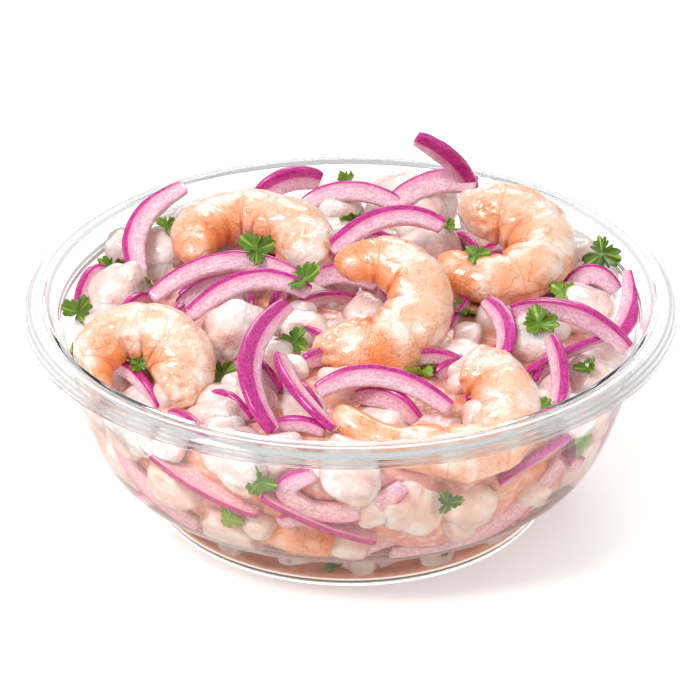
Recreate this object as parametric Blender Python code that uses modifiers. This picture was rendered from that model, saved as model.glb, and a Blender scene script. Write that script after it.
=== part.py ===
"""Bowl of ceviche: shrimps, white fish, red onion and cilantro in a clear plastic salad bowl.

Lengths are in millimetres until a mesh is made, where MM turns them to metres.
The origin is on the floor under the middle of the bowl, +Z is up and -Y is the front.
"""
import math
import random
from dataclasses import dataclass

import bmesh
import bpy
from mathutils import Euler, Vector, noise
from mathutils.bvhtree import BVHTree

MM = 0.001
GAP = 0.4                    # clearance cut between touching pieces
MERGE = 0.00005              # metres, where a turned profile closes on itself
WELD = 0.0000002             # metres, between doubled corners after a cut
SMOOTH_ANGLE = 40            # degrees, flatter edges are shaded smooth
FLAT_ANGLE = 2.5             # degrees, faces that lie flatter than this are one facet

# The bowl, a thin deep-drawn shell with a foot and a wide rim
RIM_RADIUS = 92.0            # outer edge of the rim's skirt, half of 184 mm
RIM_TOP = 62.6               # highest line of the rim
SKIRT_BOTTOM = 58.0
LAND_INNER = 84.9            # flat top of the rim, where a lid would press
LAND_OUTER = 88.6
STEP_RADIUS = 82.3           # the wall meets the lid's seat here
STEP_HEIGHT = 57.2
FOOT_RADIUS = 57.0
FOOT_HEIGHT = 12.5
FOOT_INNER = 49.0            # inner edge of the flat ring it stands on
FLOOR_RAISE = 2.0            # the floor inside the ring is this much higher
SHELL = 0.8
RIM_THICKNESS = 1.0
SHOULDER_INSET = 0.8         # the rounded shoulder between the land and the skirt
SHOULDER_DROP = 1.9
SEAT_LIP = 0.7               # small round where the seat meets the land
FOOT_ROUND = 1.0             # round of the foot's outer edge
WALL_POWER = 3.5             # how tightly the wall rounds into the foot
WALL_FACETS = 5              # straight runs of the wall above the one that meets the foot
WALL_FIRST = 0.36            # share of the flare that the run at the foot takes
TURN_STEPS = 44

# The heap of fish, onion and leaves
HEAP_EDGE = 45.0             # height of the bare core at the wall
HEAP_CROWN = 10.0            # how much higher the middle is
CORE_INSET = 4.5             # the core stays this far inside the wall
WALL_CLEARANCE = 0.7         # nothing comes nearer to the shell than this
SPARE_STEP = 0.06
SPARE_KINDS = 9
CORE_STEPS = 24
CORE_RINGS = 7               # from the middle to the edge
CORE_COURSES = 6             # down the side
CORE_EDGE_DROP = 1.0
CORE_BASE = 5.0
CORE_BASE_INSET = 7.0
CROWN_POWER = 0.8
LUMP = 2.2                   # height of the lumps on the core
LUMP_SPAN = 11.0

# A peeled shrimp, bent along a spine that runs round a middle point
SHRIMP_STATIONS = 13
SHRIMP_SIDES = 8
SHRIMP_HEIGHTS = (7.6, 10.4, 9.8, 9.0, 7.6, 4.8)      # half height from the cut end to the tail
SHRIMP_WIDTHS = (6.0, 8.0, 7.7, 7.1, 6.0, 3.6)       # half width along the same stations

# A sliver of red onion
STRIP_STATIONS = 7
STRIP_WIDTH = 6.2
STRIP_THICKNESS = 3.4
STRIP_TIP = 0.55             # width left at the blunt cut ends
TAPER_POWER = 0.4
STRIP_CORNERS = ((1, 0.8), (1, -0.8), (-1, -1), (-1, 1))   # the skin side is a little narrower
WALL_STRIP_DEPTH = 2.4

# A chunk of fish and a torn cilantro leaf
CHUNK_POWER = 3.0            # 2 is an ellipsoid, more is boxier
CHUNK_TILT = 0.5             # radians
CHUNK_UNEVEN = 0.06
CHUNK_DEPTH = 0.42           # share of its size that a chunk's middle lies in from the wall
CHUNK_SHAPE = (1.0, 0.9, 0.8)
WALL_SEED = 50
LEAF_THICKNESS = 0.7
LEAF_POINTS = 10
LEAF_STAND = 0.3             # share of a tilted leaf's span that stands up
LEAF_MEAN = 0.74             # share of the half span, and how far lobes and teeth leave it
LEAF_LOBE = 0.26
LEAF_TOOTH = 0.1
LEAF_WAVE = 0.09
WALL_LEAF_TILT = 78


@dataclass
class Shrimp:
    """One shrimp: middle point, attitude in degrees, and the spine's run round the middle."""

    name: str
    middle: tuple
    turn: float              # about the upright axis
    lean: float              # 0 lies flat, 90 faces the front
    roll: float
    start: float             # angle of the cut end
    sweep: float             # angle from there to the tail
    radii: tuple             # distance of the spine from the middle
    stout: float = 1.0       # thickness beside the usual


@dataclass
class Strip:
    """One onion sliver: one end, the crest that it bends over, the other end, and its breadth."""

    name: str
    points: tuple
    broad: float = 1.0


@dataclass
class Chunk:
    """One piece of fish: its middle and its three full sizes."""

    middle: tuple
    size: tuple


@dataclass
class Leaf:
    """One cilantro leaf: its place from above, its span, its attitude in degrees and what carries it."""

    place: tuple
    span: float
    tilt: tuple
    carrier: str = "ceviche_heap"


SHRIMPS = (
    Shrimp("shrimp_back_left", (-31, 28, 64), 0, 4, 0, -42, 268, (19.5, 14.0, 12.8, 14.0)),
    Shrimp("shrimp_centre", (7, -13, 65), 0, 32, 0, -145, 280, (17.0, 12.4, 13.0, 14.0)),
    Shrimp("shrimp_back_right", (41, 23, 64), 0, 17, 0, 124, -292, (14.5, 14.2, 13.2, 13.4)),
    Shrimp("shrimp_front_left", (-57, -34, 56), 0, 30, 0, -54, 279, (11.8, 11.4, 12.6, 13.5), 0.92),
    Shrimp("shrimp_front_right", (25, -50, 55), 0, 22, 8, 67, -237, (15.8, 17.4, 18.6, 17.8, 28.0), 0.9),
    Shrimp("shrimp_low_front", (-9, -50, 24), -8, 8, 8, -190, 200, (15.0, 12.5, 12.5, 15.0), 0.85),
    Shrimp("shrimp_low_right", (37, -35, 28), 47, 10, -18, -190, 200, (15.0, 12.5, 12.5, 15.0), 0.85),
)

TOP_STRIPS = (
    Strip("onion_01", ((-48, 55, 68), (-61, 40, 63), (-60, 21, 56)), 1.15),
    Strip("onion_02", ((19, 54, 84), (29, 57, 76), (36, 61, 64)), 1.05),
    Strip("onion_03", ((-14, 56, 61), (0, 58, 65), (15, 54, 62)), 1.0),
    Strip("onion_04", ((13, 55, 63), (26, 60, 67), (37, 59, 66)), 1.25),
    Strip("onion_05", ((-6, 20, 64), (11, 31, 70), (27, 30, 67)), 1.05),
    Strip("onion_06", ((-56, -1, 60), (-36, 8, 67), (-15, 5, 64)), 1.0),
    Strip("onion_07", ((-45, -12, 60), (-28, -3, 67), (-11, -5, 64)), 1.0),
    Strip("onion_08", ((-17, -13, 65), (-27, -43, 63), (-20, -62, 52)), 1.15),
    Strip("onion_09", ((-19, -34, 60), (-14, -52, 59), (-4, -62, 53)), 0.95),
    Strip("onion_10", ((-9, -51, 58), (8, -49, 62), (27, -55, 55)), 1.0),
    Strip("onion_11", ((45, -7, 59), (62, -13, 62), (77, -20, 54)), 1.05),
    Strip("onion_12", ((79, 14, 61), (79, 1, 57), (73, -12, 53)), 1.05),
    Strip("onion_13", ((55, -24, 60), (57, -37, 57), (56, -47, 52)), 0.9),
)

# Slivers half sunk in the heap, and those that press against the wall
SUNK_STRIPS = (
    Strip("under_back", ((-27, 69, 58), (-18, 72, 62), (-9, 75, 60)), 1.3),
    Strip("under_arch", ((-48, 2, 56), (-33, 10, 61), (-16, 9, 59))),
    Strip("front_low", ((2, -46, 54), (11, -51, 56), (18, -56, 52))),
    Strip("centre_gap", ((-13, 9, 58), (-3, 11, 62), (8, 9, 59))),
    Strip("right_upright", ((38, -2, 60), (43, -14, 59), (42, -26, 56))),
    Strip("right_cross", ((46, -33, 53), (58, -26, 56), (70, -12, 53))),
    Strip("right_rear", ((62, 15, 55), (69, 18, 58), (76, 15, 54))),
    Strip("left_rear", ((-77, 10, 51), (-74, 21, 55), (-70, 27, 53))),
)

# Against the wall: azimuth in degrees and height of the start, the crest and the end
WALL_STRIPS = (
    ((-139, 45), (-123, 37), (-109, 32)),
    ((-146, 38), (-140, 27), (-127, 19)),
    ((-108, 39), (-98, 32), (-84, 24)),
    ((-97, 48), (-103, 41), (-97, 35)),
    ((-100, 36), (-89, 35), (-79, 43)),
    ((-81, 17), (-59, 18), (-39, 35)),
    ((-58, 37), (-49, 41), (-39, 42)),
    ((-24, 22), (-12, 34), (3, 40)),
    ((22, 44), (36, 33), (50, 36)),
    ((58, 20), (72, 28), (88, 40)),
    ((98, 42), (112, 30), (126, 27)),
    ((140, 46), (154, 40), (166, 24)),
    ((182, 28), (194, 38), (206, 42)),
)

TOP_CHUNKS = (
    Chunk((-68, 46, 52), (17, 15, 13)),
    Chunk((-66, 18, 51), (17, 18, 16)),
    Chunk((-31, -16, 56), (19, 18, 17)),
    Chunk((-34, -47, 47), (21, 19, 17)),
    Chunk((13, 70, 55), (20, 16, 13)),
    Chunk((68, 42, 51), (16, 18, 14)),
    Chunk((66, 7, 52), (17, 17, 14)),
    Chunk((49, -14, 52), (16, 15, 14)),
    Chunk((67, -24, 45), (17, 16, 15)),
    Chunk((-5, 42, 55), (17, 18, 14)),
    Chunk((-12, -46, 46), (18, 16, 14)),
    Chunk((43, 62, 52), (19, 15, 14)),
    Chunk((-45, 58, 53), (17, 15, 13)),
    Chunk((31, -24, 51), (16, 16, 13)),
    Chunk((-62, -8, 48), (17, 16, 14)),
    Chunk((-8, 12, 52), (18, 17, 13)),
    Chunk((10, -50, 47), (17, 15, 13)),
    Chunk((50, -44, 46), (16, 16, 14)),
    Chunk((24, 44, 53), (18, 16, 13)),
    Chunk((-58, -50, 45), (15, 15, 13)),
    Chunk((-22, 62, 53), (18, 15, 13)),
    Chunk((58, 26, 51), (16, 16, 13)),
    Chunk((20, 57, 55), (18, 14, 15)),
    Chunk((24, 66, 55), (16, 13, 13)),
    Chunk((-4, 60, 57), (16, 11, 13)),
    Chunk((-32, 42, 53), (17, 15, 14)),
    Chunk((-56, 41, 52), (16, 15, 14)),
    Chunk((-71, -3, 50), (13, 14, 13)),
    Chunk((71, 25, 51), (14, 14, 14)),
    Chunk((-14, -8, 52), (16, 17, 13)),
)

# Azimuth, height and full size of the chunks that show through the front wall
FRONT_CHUNKS = (
    (-146, 42, 19),
    (-131, 32, 20),
    (-114, 45, 18),
    (-119, 21, 19),
    (-90, 46, 17),
    (-77, 33, 20),
    (-62, 31, 17),
    (-35, 46, 16),
    (-28, 30, 18),
)
REAR_ROWS = ((23, 17.0, -12.0), (42, 19.0, 0.0))   # height, size and shift in degrees of each row
REAR_FROM, REAR_TO, REAR_STEP = -6, 200, 34

LEAVES = (
    Leaf((-76, -3), 10.5, (40, -12, 60)),
    Leaf((-69, 28), 10.5, (48, 0, 20)),
    Leaf((-56, 17), 10.5, (45, 5, 140)),
    Leaf((-53, 42), 7.5, (40, 0, 50)),
    Leaf((-1, 62), 9.5, (68, 0, 70)),
    Leaf((12, 61), 10.0, (30, 0, 10)),
    Leaf((1.5, 45), 9.0, (30, 5, 200)),
    Leaf((28.5, 44), 6.5, (20, 0, 60)),
    Leaf((72, 24), 12.0, (45, 0, 330)),
    Leaf((60, 5), 9.0, (20, 0, 20)),
    Leaf((32.5, 1), 10.0, (30, 0, 100)),
    Leaf((52.5, -15), 11.0, (25, 12, 350)),
    Leaf((-15, -22), 10.0, (30, 12, 310)),
    Leaf((-35, -32), 10.0, (25, -8, 30)),
    Leaf((-58, -32), 6.5, (20, 0, 10)),
    Leaf((20, -34), 9.0, (20, 0, 180)),
    Leaf((52, -50), 7.0, (25, 0, 60)),
    Leaf((65, -29), 7.0, (25, 0, 300)),
    Leaf((35.5, 12.5), 8.0, (25, 4, 15), "shrimp_back_right"),
    Leaf((-26, 8.3), 11.0, (40, -6, 25), "onion_06"),
    Leaf((-13.2, -3.6), 11.0, (12, -30, 0), "onion_07"),
)

# Leaves against the wall: azimuth in degrees, height and span
WALL_LEAVES = (
    (-108, 44, 10),
    (-116, 28, 8),
    (-70, 36, 8),
    (-61, 9, 8),
    (-95, 7, 6),
    (-35, 38, 9),
    (-14, 24, 8),
    (31, 24, 8),
    (64, 42, 9),
    (105, 20, 8),
    (148, 30, 9),
    (186, 46, 8),
)


def clear_scene():
    """Remove what a new Blender file starts with."""
    for thing in list(bpy.data.objects):
        bpy.data.objects.remove(thing, do_unlink=True)


def new_collection(name):
    """A collection linked to the scene."""
    collection = bpy.data.collections.new(name)
    bpy.context.scene.collection.children.link(collection)
    return collection


def make_material(name, colour, roughness, alpha=1.0):
    """A Principled material with one colour."""
    made = bpy.data.materials.new(name)
    made.use_nodes = True
    shader = made.node_tree.nodes["Principled BSDF"]
    shader.inputs["Base Color"].default_value = (*colour, 1.0)
    shader.inputs["Roughness"].default_value = roughness
    shader.inputs["Metallic"].default_value = 0.0
    shader.inputs["Alpha"].default_value = alpha
    return made


def add_object(name, shape, collection, finish):
    """Turn a bmesh in millimetres into an object in metres."""
    bmesh.ops.scale(shape, vec=(MM, MM, MM), verts=shape.verts)
    bmesh.ops.recalc_face_normals(shape, faces=shape.faces)
    mesh = bpy.data.meshes.new(name)
    shape.to_mesh(mesh)
    shape.free()
    mesh.shade_smooth()
    mesh.set_sharp_from_angle(angle=math.radians(SMOOTH_ANGLE))
    mesh.materials.append(finish)
    made = bpy.data.objects.new(name, mesh)
    collection.objects.link(made)
    return made


def evaluated_copy(source):
    """The mesh of an object with its modifiers applied."""
    bpy.context.view_layer.update()
    graph = bpy.context.evaluated_depsgraph_get()
    return bpy.data.meshes.new_from_object(source.evaluated_get(graph), depsgraph=graph)


def turned(name, profile, steps, collection, finish):
    """A profile of radius and height, listed down its outer side, turned about the upright axis."""
    mesh = bpy.data.meshes.new(name)
    points = [(radius * MM, 0.0, height * MM) for radius, height in profile]
    edges = [(index, index + 1) for index in range(len(points) - 1)]
    mesh.from_pydata(points, edges, [])
    made = bpy.data.objects.new(name, mesh)
    collection.objects.link(made)
    screw = made.modifiers.new("Turn", "SCREW")
    screw.steps = steps
    screw.render_steps = steps
    screw.use_merge_vertices = True
    screw.merge_threshold = MERGE
    mesh.materials.append(finish)
    return made


def smooth_along(values, t):
    """A value read from an evenly spaced row of values, joined by a smooth curve."""
    place = min(max(t, 0.0), 1.0) * (len(values) - 1)
    index = min(int(place), len(values) - 2)
    f = place - index
    before = values[max(index - 1, 0)]
    low = values[index]
    high = values[index + 1]
    after = values[min(index + 2, len(values) - 1)]
    rise_low = (high - before) / 2
    rise_high = (after - low) / 2
    return (
        low * (2 * f**3 - 3 * f**2 + 1)
        + high * (3 * f**2 - 2 * f**3)
        + rise_low * (f**3 - 2 * f**2 + f)
        + rise_high * (f**3 - f**2)
    )


def wall_line():
    """Radius and height of the wall's corners, from the foot up to the lid's seat."""
    corners = [(FOOT_RADIUS, FOOT_HEIGHT)]
    for step in range(WALL_FACETS + 1):
        share = WALL_FIRST + (1 - WALL_FIRST) * step / WALL_FACETS
        radius = FOOT_RADIUS + (STEP_RADIUS - FOOT_RADIUS) * share
        corners.append((radius, FOOT_HEIGHT + (STEP_HEIGHT - FOOT_HEIGHT) * share**WALL_POWER))
    return corners


def wall_radius(height):
    """Outer radius of the bowl's wall at a height."""
    corners = wall_line()
    for (low_radius, low), (high_radius, high) in zip(corners, corners[1:]):
        if height <= high:
            share = max(height - low, 0.0) / (high - low)
            return low_radius + (high_radius - low_radius) * share
    return STEP_RADIUS


def room_radius(height):
    """Largest radius for the food at a height, clear of the wall and of the ledge over the foot."""
    inset = SHELL + WALL_CLEARANCE
    return wall_radius(height - inset) - inset


def keep_inside(point, spare=0.0):
    """Press a point of the food back inside the bowl, with some room to spare."""
    floor = FLOOR_RAISE + SHELL + WALL_CLEARANCE
    height = max(point.z, floor + spare)
    across = math.hypot(point.x, point.y)
    most = room_radius(min(height, STEP_HEIGHT)) - spare
    if across > most and height < RIM_TOP:
        return Vector((point.x * most / across, point.y * most / across, height))
    return Vector((point.x, point.y, height))


def on_wall(azimuth, height, depth):
    """A point a little way in from the wall's clearance line."""
    angle = math.radians(azimuth)
    radius = room_radius(height) - depth
    return Vector((radius * math.cos(angle), radius * math.sin(angle), height))


def add_bowl(collection, finish):
    """The clear bowl: foot, curved wall, lid seat, flat land and turned-down skirt."""
    floor = [(0.0, FLOOR_RAISE + SHELL), (FOOT_INNER - SHELL, FLOOR_RAISE + SHELL)]
    inner = [
        (FOOT_INNER, SHELL),
        (FOOT_RADIUS - 2 * SHELL, SHELL),
        (FOOT_RADIUS - SHELL, 3 * SHELL),
    ]
    outer = []
    for radius, height in wall_line():
        slope = 1 - (height - FOOT_HEIGHT) / (STEP_HEIGHT - FOOT_HEIGHT)
        inner.append((radius - SHELL, height + SHELL * slope))
        outer.insert(0, (radius, height))
    rim = [
        (LAND_INNER - SHELL, RIM_TOP - SEAT_LIP),
        (LAND_INNER, RIM_TOP),
        (LAND_OUTER, RIM_TOP),
        (RIM_RADIUS - SHOULDER_INSET, RIM_TOP - SHOULDER_DROP),
        (RIM_RADIUS, SKIRT_BOTTOM),
        (RIM_RADIUS - SHELL, SKIRT_BOTTOM),
        (LAND_OUTER, RIM_TOP - RIM_THICKNESS),
        (LAND_INNER + SEAT_LIP, RIM_TOP - RIM_THICKNESS),
    ]
    foot = [(FOOT_RADIUS, FOOT_ROUND), (FOOT_RADIUS - FOOT_ROUND, 0.0), (FOOT_INNER, 0.0)]
    under = [(FOOT_INNER - SHELL, FLOOR_RAISE), (0.0, FLOOR_RAISE)]
    return turned("bowl", floor + inner + rim + outer + foot + under, TURN_STEPS, collection, finish)


def heap_top(radius):
    """Height of the bare core at a distance from the middle."""
    share = min(radius / room_radius(HEAP_EDGE), 1.0)
    return HEAP_EDGE + HEAP_CROWN * (1 - share**2) ** CROWN_POWER


def add_core(collection, finish):
    """The packed inside of the heap, lumpy like fish under a thin cover."""
    top = []
    for step in range(CORE_RINGS):
        radius = step / CORE_RINGS * (room_radius(HEAP_EDGE) - CORE_INSET)
        top.append((radius, heap_top(radius)))
    side = []
    for step in range(CORE_COURSES):
        height = HEAP_EDGE - CORE_EDGE_DROP - (HEAP_EDGE - FOOT_HEIGHT) * step / (CORE_COURSES - 1)
        side.append((room_radius(height) - CORE_INSET, height))
    base = [(FOOT_RADIUS - CORE_BASE_INSET, CORE_BASE), (0.0, CORE_BASE)]
    core = turned("core", top + side + base, CORE_STEPS, collection, finish)
    shape = bmesh.new()
    shape.from_mesh(evaluated_copy(core))
    bpy.data.objects.remove(core, do_unlink=True)
    bmesh.ops.scale(shape, vec=(1 / MM, 1 / MM, 1 / MM), verts=shape.verts)
    for vertex in shape.verts:
        lump = noise.noise(vertex.co / LUMP_SPAN)
        outward = Vector((vertex.co.x, vertex.co.y, (vertex.co.z - HEAP_EDGE / 2) * 2)).normalized()
        vertex.co = keep_inside(vertex.co + outward * lump * LUMP)
    return add_object("core", shape, collection, finish)


def loft(sections, spare):
    """A closed body inside the bowl, through sections that all have the same number of points."""
    shape = bmesh.new()
    rings = []
    for section in sections:
        rings.append([shape.verts.new(keep_inside(point, spare)) for point in section])
    sides = len(rings[0])
    for near, far in zip(rings, rings[1:]):
        for index in range(sides):
            after = (index + 1) % sides
            shape.faces.new((near[index], near[after], far[after], far[index]))
    shape.faces.new(rings[0])
    shape.faces.new(reversed(rings[-1]))
    return shape


def shrimp_shape(shrimp):
    """The plump curl of a peeled shrimp, thick at the cut end and slim at the tail."""
    attitude = Euler((0, 0, math.radians(shrimp.turn))).to_matrix()
    attitude @= Euler((math.radians(shrimp.lean), 0, 0)).to_matrix()
    attitude @= Euler((0, math.radians(shrimp.roll), 0)).to_matrix()
    middle = Vector(shrimp.middle)
    normal = attitude @ Vector((0, 0, 1))
    sections = []
    for station in range(SHRIMP_STATIONS):
        t = station / (SHRIMP_STATIONS - 1)
        angle = math.radians(shrimp.start + shrimp.sweep * t)
        outward = attitude @ Vector((math.cos(angle), math.sin(angle), 0))
        spine = middle + outward * smooth_along(shrimp.radii, t)
        tall = smooth_along(SHRIMP_HEIGHTS, t) * shrimp.stout
        wide = smooth_along(SHRIMP_WIDTHS, t) * shrimp.stout
        section = []
        for side in range(SHRIMP_SIDES):
            around = math.tau * side / SHRIMP_SIDES
            section.append(spine + outward * tall * math.cos(around) + normal * wide * math.sin(around))
        sections.append(section)
    return loft(sections, 0.0)


def strip_shape(points, broad, spare=0.0):
    """A sliver of onion from end to end over its crest, thinner at both ends."""
    start, crest, end = [Vector(point) for point in points]
    chord_middle = (start + end) / 2
    handle = crest * 2 - chord_middle
    normal = (end - start).cross(crest - start).normalized()
    sections = []
    for station in range(STRIP_STATIONS):
        t = station / (STRIP_STATIONS - 1)
        place = start * (1 - t) ** 2 + handle * 2 * t * (1 - t) + end * t**2
        along = ((handle - start) * (1 - t) + (end - handle) * t).normalized()
        outward = normal.cross(along)
        if outward.dot(crest - chord_middle) < 0:
            outward = -outward
        taper = STRIP_TIP + (1 - STRIP_TIP) * math.sin(math.pi * t) ** TAPER_POWER
        half_width = STRIP_WIDTH / 2 * broad * taper
        half_thick = STRIP_THICKNESS / 2 * (1 + taper) / 2
        section = []
        for across, deep in STRIP_CORNERS:
            section.append(place + outward * half_width * across + normal * half_thick * deep)
        sections.append(section)
    return loft(sections, spare)


def spare_of(index):
    """Extra room to the wall that differs from piece to piece, so that no two lie in one surface."""
    return SPARE_STEP * (1 + index % SPARE_KINDS)


def chunk_shape(middle, size, seed):
    """A rounded, uneven block of fish."""
    draw = random.Random(seed)
    tilts = [draw.uniform(-CHUNK_TILT, CHUNK_TILT) for _ in range(2)]
    attitude = Euler([*tilts, draw.uniform(0, math.pi)]).to_matrix()
    shape = bmesh.new()
    bmesh.ops.create_cube(shape, size=2.0)
    bmesh.ops.subdivide_edges(shape, edges=shape.edges, cuts=1, use_grid_fill=True)
    for vertex in shape.verts:
        x, y, z = vertex.co
        reach = (abs(x) ** CHUNK_POWER + abs(y) ** CHUNK_POWER + abs(z) ** CHUNK_POWER) ** (1 / CHUNK_POWER)
        block = Vector((x * size[0], y * size[1], z * size[2])) / (2 * reach)
        block *= 1 + draw.uniform(-CHUNK_UNEVEN, CHUNK_UNEVEN)
        vertex.co = keep_inside(middle + attitude @ block, spare_of(seed))
    return shape


def leaf_shape(middle, span, attitude):
    """A thin wavy leaf of three lobes, its two faces split alike."""
    outline = [Vector((0, 0, 0))]
    for index in range(LEAF_POINTS):
        angle = math.tau * index / LEAF_POINTS
        radius = span / 2 * (LEAF_MEAN + LEAF_LOBE * math.cos(3 * angle) - LEAF_TOOTH * (index % 2))
        wave = LEAF_WAVE * span * math.sin(2 * angle)
        outline.append(Vector((radius * math.cos(angle), radius * math.sin(angle), wave)))
    sheet = [keep_inside(middle + attitude @ point, LEAF_THICKNESS) for point in outline]
    rise = attitude @ Vector((0, 0, LEAF_THICKNESS / 2))
    shape = bmesh.new()
    upper = [shape.verts.new(point + rise) for point in sheet]
    lower = [shape.verts.new(point - rise) for point in sheet]
    hubs = (upper.pop(0), lower.pop(0))
    for index in range(LEAF_POINTS):
        after = (index + 1) % LEAF_POINTS
        shape.faces.new((hubs[0], upper[index], upper[after]))
        shape.faces.new((hubs[1], lower[after], lower[index]))
        shape.faces.new((upper[index], lower[index], lower[after], upper[after]))
    return shape


def degrees_matrix(angles):
    """A rotation from three angles in degrees."""
    return Euler([math.radians(angle) for angle in angles]).to_matrix()


def wall_leaf_shape(azimuth, height, span):
    """A leaf pressed flat along the wall."""
    attitude = degrees_matrix((WALL_LEAF_TILT, 0, azimuth + 90))
    return leaf_shape(on_wall(azimuth, height, LEAF_THICKNESS), span, attitude)


def swollen_copy(source, cutters):
    """Add a copy of a piece, larger by the gap all round, that cuts its bed in a neighbour."""
    shape = bmesh.new()
    shape.from_mesh(source.data)
    shape.normal_update()
    moves = [vertex.normal * vertex.calc_shell_factor() * GAP * MM for vertex in shape.verts]
    for vertex, move in zip(shape.verts, moves):
        vertex.co += move
    mesh = bpy.data.meshes.new(source.name + "_bed")
    shape.to_mesh(mesh)
    shape.free()
    made = bpy.data.objects.new(source.name + "_bed", mesh)
    made.hide_render = True
    made.display_type = "WIRE"
    cutters.objects.link(made)


def main_body(mesh):
    """Keep a mesh's largest closed body, without loose scraps, sealed hollows and folded films."""
    shape = bmesh.new()
    shape.from_mesh(mesh)
    bmesh.ops.remove_doubles(shape, verts=shape.verts, dist=WELD)
    bmesh.ops.dissolve_degenerate(shape, dist=WELD, edges=shape.edges)
    bmesh.ops.dissolve_limit(shape, angle_limit=math.radians(FLAT_ANGLE), verts=shape.verts, edges=shape.edges)
    bmesh.ops.triangulate(shape, faces=shape.faces)
    waiting = set(shape.faces)
    bodies = []
    while waiting:
        reached = [waiting.pop()]
        body = []
        while reached:
            face = reached.pop()
            body.append(face)
            for edge in face.edges:
                beside = edge.link_faces if len(edge.link_faces) == 2 else ()
                for other in beside:
                    if other in waiting:
                        waiting.remove(other)
                        reached.append(other)
        bodies.append(body)
    bodies.sort(key=len)
    scraps = [face for body in bodies[:-1] for face in body]
    bmesh.ops.delete(shape, geom=scraps, context="FACES")
    open_edges = [edge for edge in shape.edges if len(edge.link_faces) == 1]
    if open_edges:
        filled = bmesh.ops.holes_fill(shape, edges=open_edges, sides=0)
        bmesh.ops.triangulate(shape, faces=filled["faces"])
    shape.to_mesh(mesh)
    shape.free()


def combine(target, others, operation):
    """Join a collection to a piece, or cut it out of the piece, and remove the collection's objects.

    Pressed against one wall, many pieces nearly share a surface, which the exact solver leaves open.
    """
    boolean = target.modifiers.new("Combine", "BOOLEAN")
    boolean.operation = operation
    boolean.operand_type = "COLLECTION"
    boolean.collection = others
    boolean.solver = "MANIFOLD"
    mesh = evaluated_copy(target)
    target.modifiers.clear()
    main_body(mesh)
    mesh.set_sharp_from_angle(angle=math.radians(SMOOTH_ANGLE))
    target.data = mesh
    for thing in list(others.objects):
        bpy.data.objects.remove(thing, do_unlink=True)


def bed_into(target, neighbours, cutters):
    """Cut a bed for each neighbour out of a piece."""
    for neighbour in neighbours:
        swollen_copy(neighbour, cutters)
    combine(target, cutters, "DIFFERENCE")


def lay_leaves(carrier, name, joined, finish):
    """Fuse the leaves that a piece carries to it, each resting on the surface under it."""
    surface = BVHTree.FromPolygons(
        [vertex.co / MM for vertex in carrier.data.vertices],
        [polygon.vertices for polygon in carrier.data.polygons],
    )
    for leaf in LEAVES:
        if leaf.carrier == name:
            above = Vector((*leaf.place, 2 * RIM_TOP))
            ground = surface.ray_cast(above, Vector((0, 0, -1)))[0]
            stand = leaf.span * LEAF_STAND * math.sin(math.radians(leaf.tilt[0]))
            shape = leaf_shape(ground + Vector((0, 0, stand)), leaf.span, degrees_matrix(leaf.tilt))
            add_object("leaf", shape, joined, finish)
    if joined.objects:
        combine(carrier, joined, "UNION")


def add_heap_pieces(joined, finish):
    """The fish, onion and leaves that show on the core, ready to be fused to it."""
    for index, chunk in enumerate(TOP_CHUNKS):
        add_object("fish", chunk_shape(Vector(chunk.middle), chunk.size, index), joined, finish)
    places = [(azimuth, height, size) for azimuth, height, size in FRONT_CHUNKS]
    for height, size, shift in REAR_ROWS:
        for azimuth in range(REAR_FROM, REAR_TO, REAR_STEP):
            places.append((azimuth + shift, height, size))
    for index, (azimuth, height, size) in enumerate(places):
        middle = on_wall(azimuth, height, size * CHUNK_DEPTH)
        sizes = [size * share for share in CHUNK_SHAPE]
        add_object("fish", chunk_shape(middle, sizes, WALL_SEED + index), joined, finish)
    for index, strip in enumerate(SUNK_STRIPS):
        add_object("onion", strip_shape(strip.points, strip.broad, spare_of(index)), joined, finish)
    for index, ends in enumerate(WALL_STRIPS):
        points = [on_wall(azimuth, height, WALL_STRIP_DEPTH) for azimuth, height in ends]
        add_object("onion", strip_shape(points, 1.0, spare_of(index + len(SUNK_STRIPS))), joined, finish)
    for azimuth, height, span in WALL_LEAVES:
        add_object("leaf", wall_leaf_shape(azimuth, height, span), joined, finish)


def main():
    """Build the bowl, the shrimps, the loose onion and the heap under them."""
    clear_scene()
    model = new_collection("bowl_of_ceviche")
    joined = new_collection("joined")
    cutters = new_collection("cutters")
    plastic = make_material("clear_plastic", (0.90, 0.92, 0.93), 0.06, 0.25)
    flesh = make_material("shrimp_flesh", (0.90, 0.55, 0.40), 0.3)
    onion = make_material("red_onion", (0.70, 0.16, 0.42), 0.25)
    mix = make_material("marinated_mix", (0.84, 0.60, 0.55), 0.3)

    add_bowl(model, plastic)
    placed = []
    for shrimp in SHRIMPS:
        made = add_object(shrimp.name, shrimp_shape(shrimp), model, flesh)
        lay_leaves(made, shrimp.name, joined, flesh)
        placed.append(made)
    for strip in TOP_STRIPS:
        made = add_object(strip.name, strip_shape(strip.points, strip.broad), model, onion)
        lay_leaves(made, strip.name, joined, onion)
        bed_into(made, placed, cutters)
        placed.append(made)
    heap = add_core(model, mix)
    heap.name = "ceviche_heap"
    add_heap_pieces(joined, mix)
    combine(heap, joined, "UNION")
    lay_leaves(heap, "ceviche_heap", joined, mix)
    bed_into(heap, placed, cutters)


main()
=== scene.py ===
"""Looks of a bowl of ceviche: shrimps, white fish, red onion and cilantro in a clear plastic bowl.

Lengths are in millimetres until a mesh is finished, where MM turns them to metres. The origin is on the
floor under the middle of the bowl, +Z is up and -Y is the front.
"""
import logging
import math
import random
from collections.abc import Callable
from dataclasses import dataclass
from enum import Enum
from functools import partial

import bmesh
import bpy
from mathutils import Euler, Matrix, Vector, noise
from mathutils.bvhtree import BVHTree


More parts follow.
